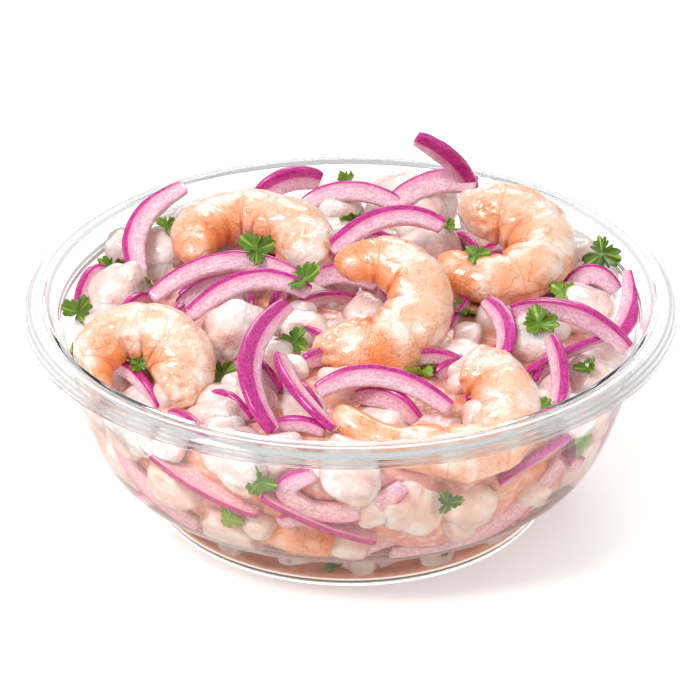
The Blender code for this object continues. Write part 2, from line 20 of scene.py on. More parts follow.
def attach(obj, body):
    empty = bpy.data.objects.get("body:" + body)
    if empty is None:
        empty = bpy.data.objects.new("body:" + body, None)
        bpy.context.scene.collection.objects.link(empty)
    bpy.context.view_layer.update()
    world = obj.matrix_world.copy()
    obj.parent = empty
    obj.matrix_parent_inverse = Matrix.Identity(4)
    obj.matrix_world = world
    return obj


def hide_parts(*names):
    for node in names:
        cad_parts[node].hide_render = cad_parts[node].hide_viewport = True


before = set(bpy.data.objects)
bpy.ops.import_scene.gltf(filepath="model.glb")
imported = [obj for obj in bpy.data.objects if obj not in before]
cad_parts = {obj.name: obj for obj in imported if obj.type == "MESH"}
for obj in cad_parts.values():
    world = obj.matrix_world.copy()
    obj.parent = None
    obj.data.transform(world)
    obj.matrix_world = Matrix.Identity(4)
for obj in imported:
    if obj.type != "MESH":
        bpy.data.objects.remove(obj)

Shape = bmesh.types.BMesh
Finish = bpy.types.Material
Piece = bpy.types.Object
Triple = tuple[float, float, float]
Spot = tuple[Vector, dict[str, float]]
Adder = Callable[..., bpy.types.NodeSocket | None]

LOG = logging.getLogger("ceviche")
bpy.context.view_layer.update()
MM = 0.001
BODY = "root"

# The bowl's shell, from the floor to the rim
RIM_RADIUS = 92.0
RIM_TOP = 62.6
SKIRT_BOTTOM = 58.0
LAND_INNER = 84.9
LAND_OUTER = 88.6
STEP_RADIUS = 82.3
STEP_HEIGHT = 57.2
FOOT_RADIUS = 57.0
FOOT_HEIGHT = 12.5
FOOT_INNER = 49.0
FLOOR_RAISE = 2.0
SHELL = 0.8
WALL_POWER = 3.5
WALL_SPREAD = 0.7            # under 1: the profile's points lie closer where the wall is steep

# The heap and the juice that it lies in
HEAP_EDGE = 45.0
HEAP_CROWN = 10.0
CROWN_POWER = 0.8
CORE_INSET = 4.5
JUICE_LEVEL = 41.0
JUICE_BITE = 0.15            # how far the juice reaches into the wall
JUICE_FADE = 6.0             # under its level the juice clouds more and more over this height
CLEAR_DEPTH = 0.5            # down to here the juice hides nothing
CLOUD_DEPTH = 15.0           # what lies this deep behind the wall is lost in the juice
WALL_CLEARANCE = 0.45        # film of juice between the food and the shell
SETTLED_TOP = 16.0           # below this the juice is cloudier, with what has settled
SETTLED_BOTTOM = 3.0
SETTLED_DEPTH = 4.5          # clouds as much as this depth of plain juice

# Colours and node settings that several finishes share
JUICE_CLOUD = "#F2B39A"
WHITE = (1.0, 1.0, 1.0, 1.0)
COLOUR = {"data_type": "RGBA"}
SOFT = {"interpolation_type": "SMOOTHSTEP"}
TIMES_PLUS = {"operation": "MULTIPLY_ADD"}

# Values that the vertices of onion and of leaves carry for their finishes
ONION_VALUES = ("rind", "run", "across")
LEAF_VALUES = ("vein", "shade")


class Slot(Enum):
    """The record's material slots."""

    PLASTIC = "clear_plastic"
    SHRIMP = "shrimp_flesh"
    ONION = "red_onion"
    MIX = "marinated_mix"


class Carrier(Enum):
    """What a cilantro leaf lies on."""

    HEAP = "heap"
    SHRIMP = "shrimp"
    ONION = "onion"


def linear(code: str) -> tuple[float, float, float, float]:
    """Turn an sRGB hex colour into linear values.

    Args:
        code: the colour as "#RRGGBB".

    Returns:
        Linear red, green, blue and an alpha of 1.
    """
    shades = []
    for place in (1, 3, 5):
        share = int(code[place:place + 2], 16) / 255
        shades.append(share / 12.92 if share <= 0.04045 else ((share + 0.055) / 1.055) ** 2.4)
    return (*shades, 1.0)


def add_node(
    tree: bpy.types.NodeTree, kind: str, *inputs: object, out: str = "", **settings: object
) -> bpy.types.NodeSocket | None:
    """Add a shader node with its settings, values and links.

    Args:
        tree: the material's node tree.
        kind: the node's type without its common prefix.
        inputs: a value or a socket for each input in turn, or one dict of them by name.
        out: the name of the output that is wanted, if not the first.
        settings: properties to set on the node.

    Returns:
        The output, if the node has one.
    """
    node = tree.nodes.new("ShaderNode" + kind)
    for name, value in settings.items():
        setattr(node, name, value)
    if inputs and isinstance(inputs[0], dict):
        pairs = [(node.inputs[name], value) for name, value in inputs[0].items()]
    else:
        pairs = zip([socket for socket in node.inputs if socket.enabled], inputs)
    for socket, value in pairs:
        if isinstance(value, bpy.types.NodeSocket):
            tree.links.new(value, socket)
        else:
            socket.default_value = value
    return next((socket for socket in node.outputs if socket.enabled and out in ("", socket.name)), None)


def new_finish(name: str) -> tuple[Finish, Adder]:
    """Make an empty material.

    Args:
        name: the material's name.

    Returns:
        The material, and add_node for its node tree.
    """
    made = bpy.data.materials.new(name)
    made.use_nodes = True
    made.node_tree.nodes.clear()
    return made, partial(add_node, made.node_tree)


def smooth_step(low: float, high: float, value: float) -> float:
    """Rise softly from 0 at low to 1 at high."""
    share = min(max((value - low) / (high - low), 0.0), 1.0)
    return share * share * (3 - 2 * share)


def smooth_along(values: tuple[float, ...], t: float) -> float:
    """Read a value from an evenly spaced row, joined by a smooth curve.

    Args:
        values: the row of values.
        t: the place along the row, from 0 to 1.

    Returns:
        The value at that place.
    """
    place = min(max(t, 0.0), 1.0) * (len(values) - 1)
    index = min(int(place), len(values) - 2)
    f = place - index
    before = values[max(index - 1, 0)]
    low = values[index]
    high = values[index + 1]
    after = values[min(index + 2, len(values) - 1)]
    rise_low = (high - before) / 2
    rise_high = (after - low) / 2
    return (
        low * (2 * f**3 - 3 * f**2 + 1)
        + high * (3 * f**2 - 2 * f**3)
        + rise_low * (f**3 - 2 * f**2 + f)
        + rise_high * (f**3 - f**2)
    )


def wall_radius(height: float) -> float:
    """Outer radius of the bowl's smooth wall at a height."""
    share = min(max((height - FOOT_HEIGHT) / (STEP_HEIGHT - FOOT_HEIGHT), 0.0), 1.0)
    return FOOT_RADIUS + (STEP_RADIUS - FOOT_RADIUS) * share ** (1 / WALL_POWER)


def wall_point(share: float) -> Triple:
    """Radius and height of the wall's outside at a share of its way out, and how flat it lies there."""
    rise = share**WALL_POWER
    height = FOOT_HEIGHT + (STEP_HEIGHT - FOOT_HEIGHT) * rise
    return FOOT_RADIUS + (STEP_RADIUS - FOOT_RADIUS) * share, height, 1 - rise


def room_radius(height: float) -> float:
    """Largest radius for the food at a height, clear of the wall and of the ledge over the foot."""
    inset = SHELL + WALL_CLEARANCE
    return wall_radius(height - inset) - inset


def core_height(radius: float) -> float:
    """Height of the bare core at a distance from the middle."""
    share = min(radius / room_radius(HEAP_EDGE), 1.0)
    return HEAP_EDGE + HEAP_CROWN * (1 - share**2) ** CROWN_POWER


def keep_inside(point: Vector, spare: float = 0.0) -> Vector:
    """Press a point of the food back inside the bowl.

    Args:
        point: the point, in millimetres.
        spare: extra room to leave to the wall.

    Returns:
        The point, or the nearest place inside the bowl.
    """
    floor = FLOOR_RAISE + SHELL + WALL_CLEARANCE
    height = max(point.z, floor + spare)
    across = math.hypot(point.x, point.y)
    most = room_radius(min(height, STEP_HEIGHT)) - spare
    if across > most and height < RIM_TOP:
        return Vector((point.x * most / across, point.y * most / across, height))
    return Vector((point.x, point.y, height))


def polar(radius: float, angle: float, height: float) -> Vector:
    """A point at a distance from the upright axis and an angle in radians."""
    return Vector((radius * math.cos(angle), radius * math.sin(angle), height))


def on_wall(azimuth: float, height: float, depth: float) -> Vector:
    """A point a little way in from the wall.

    Args:
        azimuth: angle about the upright axis, in degrees.
        height: height of the point.
        depth: how far in from the food's outermost place.

    Returns:
        The point, in millimetres.
    """
    return polar(room_radius(height) - depth, math.radians(azimuth), height)


def degrees_matrix(angles: Triple) -> Matrix:
    """A rotation from three angles in degrees."""
    return Euler([math.radians(angle) for angle in angles]).to_matrix()


def new_shape(*names: str) -> Shape:
    """An empty mesh that carries a UV map and named values on its vertices.

    Args:
        names: the values, next to "sunk", which every piece of food has.

    Returns:
        The mesh.
    """
    shape = bmesh.new()
    shape.loops.layers.uv.new("UVMap")
    for name in ("sunk", *names):
        shape.verts.layers.float.new(name)
    return shape


def settled(height: float) -> float:
    """Share of the settled cloudiness at a height."""
    return smooth_step(SETTLED_TOP, SETTLED_BOTTOM, height)


def depth_in_juice(point: Vector) -> float:
    """How far behind the wall or the floor a point lies in the juice, in millimetres."""
    if point.z > JUICE_LEVEL:
        return 0.0
    from_wall = wall_radius(point.z) - SHELL - math.hypot(point.x, point.y)
    from_floor = point.z - FLOOR_RAISE - SHELL
    soft = smooth_step(JUICE_LEVEL, JUICE_LEVEL - JUICE_FADE, point.z)
    return max(min(from_wall, from_floor), 0.0) * soft + SETTLED_DEPTH * settled(point.z)


def set_values(shape: Shape, vertex: bmesh.types.BMVert, values: dict[str, float]) -> None:
    """Store named values on a vertex, and how deep it lies in the juice."""
    vertex[shape.verts.layers.float["sunk"]] = depth_in_juice(vertex.co)
    for name, value in values.items():
        vertex[shape.verts.layers.float[name]] = value


def roll(
    shape: Shape, stations: int, sides: int, place: Callable[[float, float], Spot]
) -> list[bmesh.types.BMVert]:
    """Add a grid that is rolled into a closed body.

    Args:
        shape: the mesh that takes the body.
        stations: cells along the body.
        sides: cells round it.
        place: gives the point and the values for a share along the body and a share round it.

    Returns:
        The body's vertices.
    """
    grid = bmesh.ops.create_grid(shape, x_segments=stations, y_segments=sides, size=0.5, calc_uvs=True)
    made = grid["verts"]
    for vertex in made:
        point, values = place(vertex.co.x + 0.5, vertex.co.y + 0.5)
        vertex.co = point
        set_values(shape, vertex, values)
    faces = {face for vertex in made for face in vertex.link_faces}
    bmesh.ops.remove_doubles(shape, verts=made, dist=0.001)
    bmesh.ops.recalc_face_normals(shape, faces=[face for face in faces if face.is_valid])
    return [vertex for vertex in made if vertex.is_valid]


def finish_piece(name: str, shape: Shape, finish: Finish, slot: Slot, *nodes: str) -> Piece:
    """Turn a mesh in millimetres into a piece of the model.

    Args:
        name: the piece's name.
        shape: its mesh, which is freed.
        finish: its material.
        slot: the record's slot; not used.
        nodes: the CAD nodes that it stands for.

    Returns:
        The piece.
    """
    bmesh.ops.scale(shape, vec=(MM, MM, MM), verts=shape.verts)
    mesh = bpy.data.meshes.new(name)
    shape.to_mesh(mesh)
    shape.free()
    mesh.shade_smooth()
    mesh.materials.append(finish)
    piece = bpy.data.objects.new(name, mesh)
    bpy.context.scene.collection.objects.link(piece)
    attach(piece, BODY)
    if nodes:
        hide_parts(*nodes)
    LOG.info("%s: %d triangles", name, sum(len(polygon.vertices) - 2 for polygon in mesh.polygons))
    return piece


# Finishes


@dataclass(frozen=True)
class WetFood:
    """What all the food shares: a wet skin over soft flesh that clouds over in the juice."""

    name: str
    roughness: float = 0.3
    coat: float = 0.5
    coat_roughness: float = 0.12
    subsurface: float = 0.25
    bleed: Triple = (1.0, 0.5, 0.35)
    bleed_mm: float = 3.0
    bump_mm: float = 0.25
    haze: float = 0.85

    def close(self, node: Adder, colour: bpy.types.NodeSocket, relief: bpy.types.NodeSocket) -> None:
        """Put the colour and relief under the wet skin.

        Args:
            node: adds a node to the material.
            colour: the food's own colour.
            relief: the height of its fine relief, from 0 to 1.
        """
        sunk = node("Attribute", attribute_name="sunk", out="Fac")
        haze = node("MapRange", sunk, CLEAR_DEPTH, CLOUD_DEPTH, 0.0, self.haze, **SOFT)
        clouded = node("Mix", haze, colour, linear(JUICE_CLOUD), **COLOUR)
        bump = {"Strength": 1.0, "Distance": self.bump_mm * MM, "Height": relief}
        skin = {
            "Base Color": clouded,
            "Normal": node("Bump", bump),
            "Roughness": self.roughness,
            "Coat Weight": self.coat,
            "Coat Roughness": self.coat_roughness,
            "Subsurface Weight": self.subsurface,
            "Subsurface Radius": self.bleed,
            "Subsurface Scale": self.bleed_mm * MM,
        }
        shader = node("BsdfPrincipled", skin, subsurface_method="RANDOM_WALK")
        node("OutputMaterial", shader)


@dataclass(frozen=True)
class CookedShrimp(WetFood):
    """Boiled, peeled shrimp: milky pink flesh with orange bands, fine joints and thread-like veins."""

    name: str = "cooked_shrimp"
    haze: float = 0.2
    coat: float = 0.8
    coat_roughness: float = 0.08
    bump_mm: float = 0.35
    flesh: str = "#FCCFB2"
    milk: str = "#FFEFE3"
    orange: str = "#FB9450"
    vein: str = "#DC7A34"
    segments: int = 6
    patch_mm: float = 9.0
    thread_mm: float = 5.5
    thread_strength: float = 0.85
    joint_strength: float = 0.7
    grain_mm: float = 0.8

    def material(self) -> Finish:
        """The milky flesh, its orange tint, which holds painted shade on the lower side of each curl, and
        the dark threads at the joints.
        """
        made, node = new_finish(self.name)
        place = node("TexCoord", out="Object")
        patch = node("TexNoise", place, 1 / (self.patch_mm * MM), 3.0, 0.5)
        # the tint values hold painted shade as well as the flesh's own orange: the lower side of each curl
        # is warmer
        tint = node("Attribute", attribute_name="tint", out="Fac")
        uneven = node("Math", patch, 2.0, -1.02, **TIMES_PLUS)
        amount = node("Math", tint, uneven, operation="ADD", use_clamp=True)
        milk_share = node("MapRange", patch, 0.36, 0.5, 1.0, 0.0)
        pale = node("Mix", milk_share, linear(self.flesh), linear(self.milk), **COLOUR)
        tinted = node("Mix", amount, pale, linear(self.orange), **COLOUR)
        wavy = {"Vector": place, "Scale": 1 / (self.thread_mm * MM), "Detail": 3.0}
        swirl = node("TexNoise", wavy | {"Roughness": 0.55, "Distortion": 0.6})
        off_thread = node("Math", swirl, 0.5, operation="SUBTRACT")
        near_thread = node("Math", off_thread, operation="ABSOLUTE")
        thread = node("MapRange", near_thread, 0.0, 0.02, self.thread_strength, 0.0)
        along = node("SeparateXYZ", node("UVMap"), out="X")
        drift = node("Math", patch, 0.022, along, **TIMES_PLUS)
        ring = node("Math", drift, float(self.segments), operation="MULTIPLY")
        from_joint = node("Math", ring, 0.5, operation="PINGPONG")
        joint = node("MapRange", from_joint, 0.0, 0.018, self.joint_strength, 0.0)
        line = node("Math", thread, joint, operation="MAXIMUM")
        broken = node("MapRange", amount, 0.0, 0.45, 0.35, 1.0)
        line_share = node("Math", line, broken, operation="MULTIPLY")
        veined = node("Mix", line_share, tinted, linear(self.vein), **COLOUR)
        grain = node("TexNoise", place, 1 / (self.grain_mm * MM), 2.0)
        self.close(node, veined, node("Math", line, -0.35, grain, **TIMES_PLUS))
        return made


@dataclass(frozen=True)
class RedOnion(WetFood):
    """Pickled red onion: glassy pink flesh with fine lengthwise fibres under a magenta skin."""

    name: str = "pickled_red_onion"
    roughness: float = 0.26
    subsurface: float = 0.2
    bump_mm: float = 0.12
    bleed: Triple = (1.0, 0.4, 0.6)
    bleed_mm: float = 1.5
    haze: float = 0.4
    flesh: str = "#E4A6BF"
    pale: str = "#F8DDE4"
    blush: str = "#DB6CA2"
    skin: str = "#AA0A6C"
    skin_light: str = "#D6379F"
    fibre_mm: float = 0.55
    cell_mm: float = 0.7
    blush_mm: float = 7.0

    def material(self) -> Finish:
        """Pale flesh that blushes towards the dark skin on its outer edge."""
        made, node = new_finish(self.name)
        place = node("TexCoord", out="Object")
        rind, run, across = [node("Attribute", attribute_name=name, out="Fac") for name in ONION_VALUES]
        lengthwise = {
            "Vector": node("CombineXYZ", run, across, 0.0),
            "Scale": (0.16 / self.fibre_mm, 1 / self.fibre_mm, 1.0),
        }
        fibre = node("TexNoise", node("Mapping", lengthwise), 1.0, 3.0, 0.6)
        cells = node("TexNoise", place, 1 / (self.cell_mm * MM), 2.0)
        texture = node("Mix", 0.5, fibre, cells, data_type="FLOAT")
        broad = node("TexNoise", place, 1 / (self.blush_mm * MM), 2.0)
        wander = node("Math", broad, 0.7, rind, **TIMES_PLUS)
        blush_share = node("MapRange", wander, 0.3, 1.5, 0.0, 0.9, **SOFT)
        streak = node("MapRange", texture, 0.42, 0.6)
        flesh = node("Mix", streak, linear(self.flesh), linear(self.pale), **COLOUR)
        blushed = node("Mix", blush_share, flesh, linear(self.blush), **COLOUR)
        ragged = node("Math", fibre, 0.16, rind, **TIMES_PLUS)
        skin_share = node("MapRange", ragged, 0.80, 0.98, **SOFT)
        skin = node("Mix", streak, linear(self.skin), linear(self.skin_light), **COLOUR)
        self.close(node, node("Mix", skin_share, blushed, skin, **COLOUR), texture)
        return made


@dataclass(frozen=True)
class WhiteFish(WetFood):
    """White fish cured in lime juice: milky, faintly pink and glassy, in fine flakes."""

    name: str = "lime_cured_fish"
    roughness: float = 0.25
    coat: float = 0.8
    coat_roughness: float = 0.06
    subsurface: float = 0.35
    haze: float = 0.35
    bump_mm: float = 0.9
    flesh: str = "#FAE8E1"
    milk: str = "#FFFAF7"
    blush: str = "#EFC3B9"
    flake_mm: float = 2.4
    patch_mm: float = 7.0
    fine_mm: float = 2.4

    def material(self) -> Finish:
        """Pale flesh with thin lines between its flakes."""
        made, node = new_finish(self.name)
        place = node("TexCoord", out="Object")
        grain = node("Attribute", attribute_name="grain", out="Fac")
        patch = node("TexNoise", place, 1 / (self.patch_mm * MM), 4.0, 0.55)
        bend = node("Math", patch, 5.0, grain, **TIMES_PLUS)
        flake = node("Math", bend, self.flake_mm / 2, operation="PINGPONG")
        gap = node("MapRange", flake, 0.0, 0.35, 1.0, 0.0, **SOFT)
        blush_share = node("MapRange", patch, 0.42, 0.72)
        milk_share = node("MapRange", patch, 0.46, 0.34)
        body = node("Mix", blush_share, linear(self.flesh), linear(self.blush), **COLOUR)
        milky = node("Mix", milk_share, body, linear(self.milk), **COLOUR)
        faint = node("Math", gap, 0.1, operation="MULTIPLY")
        lined = node("Mix", faint, milky, linear(self.blush), **COLOUR)
        fine = node("TexNoise", place, 1 / (self.fine_mm * MM), 4.0, 0.6)
        self.close(node, lined, node("Math", gap, -0.08, fine, **TIMES_PLUS))
        return made


@dataclass(frozen=True)
class Cilantro(WetFood):
    """Fresh cilantro: waxy mid-green leaves, paler along the veins."""

    name: str = "cilantro_leaf"
    roughness: float = 0.42
    coat: float = 0.2
    subsurface: float = 0.05
    bleed: Triple = (0.7, 1.0, 0.1)
    bleed_mm: float = 1.0
    bump_mm: float = 0.15
    haze: float = 0.2
    green: str = "#7CA51A"
    bright: str = "#A9C440"
    deep: str = "#33550B"
    mottle_mm: float = 2.5

    def material(self) -> Finish:
        """Green that differs from leaf to leaf, with light veins from the middle to each lobe."""
        made, node = new_finish(self.name)
        place = node("TexCoord", out="Object")
        vein, shade = [node("Attribute", attribute_name=name, out="Fac") for name in LEAF_VALUES]
        mottle = node("TexNoise", place, 1 / (self.mottle_mm * MM), 3.0)
        depth = node("Math", mottle, 0.6, shade, use_clamp=True, **TIMES_PLUS)
        body = node("Mix", depth, linear(self.green), linear(self.deep), **COLOUR)
        vein_share = node("MapRange", vein, 0.35, 1.0, 0.0, 0.75)
        veined = node("Mix", vein_share, body, linear(self.bright), **COLOUR)
        self.close(node, veined, node("Math", vein, 0.6, mottle, **TIMES_PLUS))
        return made


@dataclass(frozen=True)
class JuicyMash(WetFood):
    """Fish crumbs and onion soaked in juice: what shows in the gaps between the pieces."""

    name: str = "juice_soaked_mash"
    roughness: float = 0.2
    coat: float = 0.6
    subsurface: float = 0.15
    haze: float = 0.4
    bump_mm: float = 0.6
    pale: str = "#F8D6CA"
    rosy: str = "#E0918A"
    amber: str = "#E89E7A"
    murky: str = "#FCB99C"
    patch_mm: float = 12.0
    crumb_mm: float = 2.6

    def material(self) -> Finish:
        """Rosy and amber patches, as light that has gone through the food leaves them."""
        made, node = new_finish(self.name)
        place = node("TexCoord", out="Object")
        patch = node("TexNoise", place, 1 / (self.patch_mm * MM), 3.0)
        crumb = node("TexNoise", place, 1 / (self.crumb_mm * MM), 3.0)
        warm = node("MapRange", patch, 0.4, 0.6)
        base = node("Mix", warm, linear(self.amber), linear(self.rosy), **COLOUR)
        light = node("MapRange", crumb, 0.48, 0.7)
        mixed = node("Mix", light, base, linear(self.pale), **COLOUR)
        murk = node("Attribute", attribute_name="murk", out="Fac")
        self.close(node, node("Mix", murk, mixed, linear(self.murky), **COLOUR), crumb)
        return made


@dataclass(frozen=True)
class ClearStuff:
    """A clear body that lets lamps light what is behind it."""

    name: str
    tint: str
    shade_tint: str
    ior: float
    roughness: float = 0.0
    clear: float = 1.0
    gloss: float = 0.0

    def dress(self, node: Adder, skin: dict) -> None:
        """Change what differs over the surface: nothing on a plain clear body."""

    def material(self) -> Finish:
        """A refracting shader, with a plain see-through one for the rays that cast shadows."""
        made, node = new_finish(self.name)
        skin = {
            "Base Color": linear(self.tint),
            "Transmission Weight": self.clear,
            "Roughness": self.roughness,
            "IOR": self.ior,
            "Coat Weight": self.gloss,
            "Coat Roughness": 0.02,
            "Coat IOR": 1.45,
        }
        self.dress(node, skin)
        shader = node("BsdfPrincipled", skin)
        clear = node("BsdfTransparent", linear(self.shade_tint))
        ray = node("LightPath", out="Is Shadow Ray")
        node("OutputMaterial", node("MixShader", ray, shader, clear))
        return made


@dataclass(frozen=True)
class RimmedPlastic(ClearStuff):
    """Clear plastic whose rim is painted greyer as shade, with painted reflection rings where it is ribbed
    and a painted white highlight on the crest.
    """

    rim_tint: str = "#DCDDDD"
    ring_tint: str = "#C2C3C3"
    ring_gap_mm: float = 2.0
    ring_veil: float = 0.5
    crest_tint: str = "#E2E3E3"
    crest_inset_mm: float = 0.25
    crest_half_mm: float = 0.55

    def dress(self, node: Adder, skin: dict) -> None:
        """Paint the rim's grey shade, its reflection rings and the highlight on its crest.

        Args:
            node: adds a node to the material.
            skin: the shader's inputs, changed in place.
        """
        place = node("TexCoord", out="Object")
        flat = node("VectorMath", place, (1.0, 1.0, 0.0), operation="MULTIPLY")
        out = node("VectorMath", flat, operation="LENGTH")
        rim_from, rim_full = (LAND_INNER - 1.5) * MM, (LAND_INNER - 0.8) * MM
        at_rim = node("MapRange", out, rim_from, rim_full, **SOFT)
        # painted shade: the rim is tinted greyer, standing in for how the thick curved rim darkens what is
        # seen through it
        grey = node("Mix", at_rim, linear(self.tint), linear(self.rim_tint), **COLOUR)
        height = node("SeparateXYZ", place, out="Z")
        slant = node("Math", out, height, operation="SUBTRACT")
        # painted reflections: pale grey rings every few millimetres, which also let less light through,
        # stand in for the bright and dark lines of the ribbed rim
        from_ring = node("Math", slant, self.ring_gap_mm / 2 * MM, operation="PINGPONG")
        ring = node("MapRange", from_ring, 0.15 * MM, 0.45 * MM, 1.0, 0.0)
        rim_ring = node("Math", ring, at_rim, operation="MULTIPLY")
        ringed = node("Mix", rim_ring, grey, linear(self.ring_tint), **COLOUR)
        veiled = node("Math", rim_ring, -self.ring_veil, self.clear, **TIMES_PLUS)
        # painted highlight: the crest is an opaque pale band in place of the clear plastic's bright line
        # there
        crest_slant = (LAND_OUTER - RIM_TOP - self.crest_inset_mm) * MM
        crest = node("Math", slant, crest_slant, self.crest_half_mm * MM, operation="COMPARE")
        skin["Base Color"] = node("Mix", crest, ringed, linear(self.crest_tint), **COLOUR)
        skin["Transmission Weight"] = node("Math", crest, -self.clear, veiled, use_clamp=True, **TIMES_PLUS)


# Thermoformed PET: clear, hard and glossy, with bright and dark lines where it bends, and on the rim painted
# grey shade, painted reflection rings and a painted highlight on the crest
CLEAR_PLASTIC = RimmedPlastic("thermoformed_pet", "#FCFCFC", "#FCFCFC", 1.12, 0.01, 0.99, 0.4)
# Lime juice clouded by fish and onion: warm and faintly pink
JUICE = ClearStuff("lime_and_fish_juice", "#FFEDE0", "#FFF5EE", 1.08)


# Pieces


@dataclass
class Bowl:
    """The clear bowl: foot, curved wall, lid seat, flat land and turned-down skirt."""

    turn_steps: int = 192
    wall_steps: int = 22
    arc_steps: int = 4
    rim_round: float = 0.9
    rim_lean: float = 0.8
    rim_drop: float = 1.9
    edge_round: float = 0.4
    ledge_round: float = 3.0
    rim_thickness: float = 0.7
    land_edge: float = 1.0
    land_dip: float = 0.4
    rib: float = 0.22
    ribs: int = 4

    def corners(self) -> list[Triple]:
        """The shell's corners as radius, height and rounding, inside first, then out and under.

        Returns:
            The corners, from the middle of the floor to the middle of the underside.
        """
        small = SHELL * 0.4
        line = [
            (0.0, FLOOR_RAISE + SHELL, 0.0),
            (FOOT_INNER - SHELL, FLOOR_RAISE + SHELL, 0.7),
            (FOOT_INNER, SHELL, small),
            (FOOT_RADIUS - 2 * SHELL, SHELL, small),
            (FOOT_RADIUS - SHELL, 3 * SHELL, small),
        ]
        wall = []
        for step in (0, *range(3, self.wall_steps + 1)):
            radius, height, flat = wall_point((step / self.wall_steps) ** WALL_SPREAD)
            rounding = 0.0 if step else self.ledge_round
            wall.append((radius, height, rounding))
            line.append((radius - SHELL, height + SHELL * flat, rounding))
        inner, outer, dip = LAND_INNER + self.land_edge, LAND_OUTER - self.land_edge, RIM_TOP - self.land_dip
        brow = RIM_TOP - self.rim_drop
        line += [
            (LAND_INNER - SHELL, RIM_TOP - self.rim_thickness, small),
            (LAND_INNER, RIM_TOP, small),
            (inner, dip, small),
            ((LAND_INNER + LAND_OUTER) / 2, RIM_TOP - self.rib, small),
            (outer, dip, small),
            (LAND_OUTER, RIM_TOP, self.rim_round),
            (RIM_RADIUS - self.rim_lean, brow, self.rim_round),
        ]
        for index in range(1, 2 * self.ribs):
            share = index / (2 * self.ribs)
            radius = RIM_RADIUS - self.rim_lean * (1 - share) - self.rib * (index % 2)
            line.append((radius, brow - (brow - SKIRT_BOTTOM) * share, small))
        line += [
            (RIM_RADIUS, SKIRT_BOTTOM, self.edge_round / 2),
            (RIM_RADIUS - SHELL, SKIRT_BOTTOM, self.edge_round / 2),
            (RIM_RADIUS - self.rim_lean - SHELL, brow - 0.5, small),
            (LAND_OUTER - 0.4, RIM_TOP - self.rim_thickness, small),
            (outer, dip - self.rim_thickness, small),
            (inner, dip - self.rim_thickness, small),
        ]
        return line + wall[::-1] + [
            (FOOT_RADIUS, 1.0, 0.6),
            (FOOT_RADIUS - 1.0, 0.0, self.edge_round),
            (FOOT_INNER, 0.0, self.edge_round),
            (FOOT_INNER - SHELL, FLOOR_RAISE, self.edge_round),
            (0.0, FLOOR_RAISE, 0.0),
        ]

    def rounded(self) -> list[Vector]:
        """The profile in the XZ plane, with each corner turned into a small arc."""
        corners = self.corners()
        points = []
        for index, (radius, height, rounding) in enumerate(corners):
            corner = Vector((radius, 0.0, height))
            if rounding == 0.0 or index in (0, len(corners) - 1):
                points.append(corner)
                continue
            before = Vector((corners[index - 1][0], 0.0, corners[index - 1][1]))
            after = Vector((corners[index + 1][0], 0.0, corners[index + 1][1]))
            reach = min(rounding, (before - corner).length / 2.2, (after - corner).length / 2.2)
            enter = corner + (before - corner).normalized() * reach
            leave = corner + (after - corner).normalized() * reach
            for step in range(self.arc_steps + 1):
                t = step / self.arc_steps
                points.append(enter * (1 - t) ** 2 + corner * 2 * t * (1 - t) + leave * t**2)
        return points

    def build(self, finish: Finish) -> Piece:
        """Turn the profile about the upright axis, in clear plastic."""
        return turned_piece("bowl_shell", self.rounded(), self.turn_steps, finish, Slot.PLASTIC, "bowl")


def turned_piece(
    name: str, profile: list[Vector], steps: int, finish: Finish, slot: Slot, *nodes: str
) -> Piece:
    """Spin a profile about the upright axis into a closed piece.

    Args:
        name: the piece's name.
        profile: points in the XZ plane that start and end on the axis.
        steps: steps of the turn.
        finish: the piece's material.
        slot: the record's slot.
        nodes: the CAD nodes that it stands for.

    Returns:
        The piece.
    """
    shape = bmesh.new()
    verts = [shape.verts.new(point) for point in profile]
    edges = [shape.edges.new(pair) for pair in zip(verts, verts[1:])]
    bmesh.ops.spin(
        shape, geom=verts + edges, axis=(0, 0, 1), cent=(0, 0, 0), dvec=(0, 0, 0),
        angle=math.tau, steps=steps, use_merge=True, use_normal_flip=False, use_duplicate=False,
    )
    bmesh.ops.remove_doubles(shape, verts=shape.verts, dist=0.0005)
    bmesh.ops.recalc_face_normals(shape, faces=shape.faces)
    return finish_piece(name, shape, finish, slot, *nodes)


@dataclass
class Juice:
    """The juice round the heap, from the floor to its level, just into the shell all round."""

    turn_steps: int = 128
    wall_steps: int = 20

    def build(self, finish: Finish) -> Piece:
        """Turn the juice's outline.

        Args:
            finish: the juice.

        Returns:
            The juice.
        """
        floor = FLOOR_RAISE + SHELL - JUICE_BITE
        inset = SHELL - JUICE_BITE
        profile = [
            Vector((0.0, 0.0, floor)),
            Vector((FOOT_INNER - inset, 0.0, floor)),
            Vector((FOOT_INNER, 0.0, inset)),
            Vector((FOOT_RADIUS - 2 * SHELL, 0.0, inset)),
            Vector((FOOT_RADIUS - inset, 0.0, 3 * SHELL)),
        ]
        top_share = ((JUICE_LEVEL - FOOT_HEIGHT) / (STEP_HEIGHT - FOOT_HEIGHT)) ** (1 / WALL_POWER)
        for step in range(self.wall_steps + 1):
            radius, height, flat = wall_point(top_share * (step / self.wall_steps) ** WALL_SPREAD)
            profile.append(Vector((radius - inset, 0.0, height + inset * flat)))
        profile.append(Vector((0.0, 0.0, profile[-1].z)))
        return turned_piece("lime_juice", profile, self.turn_steps, finish, Slot.MIX)


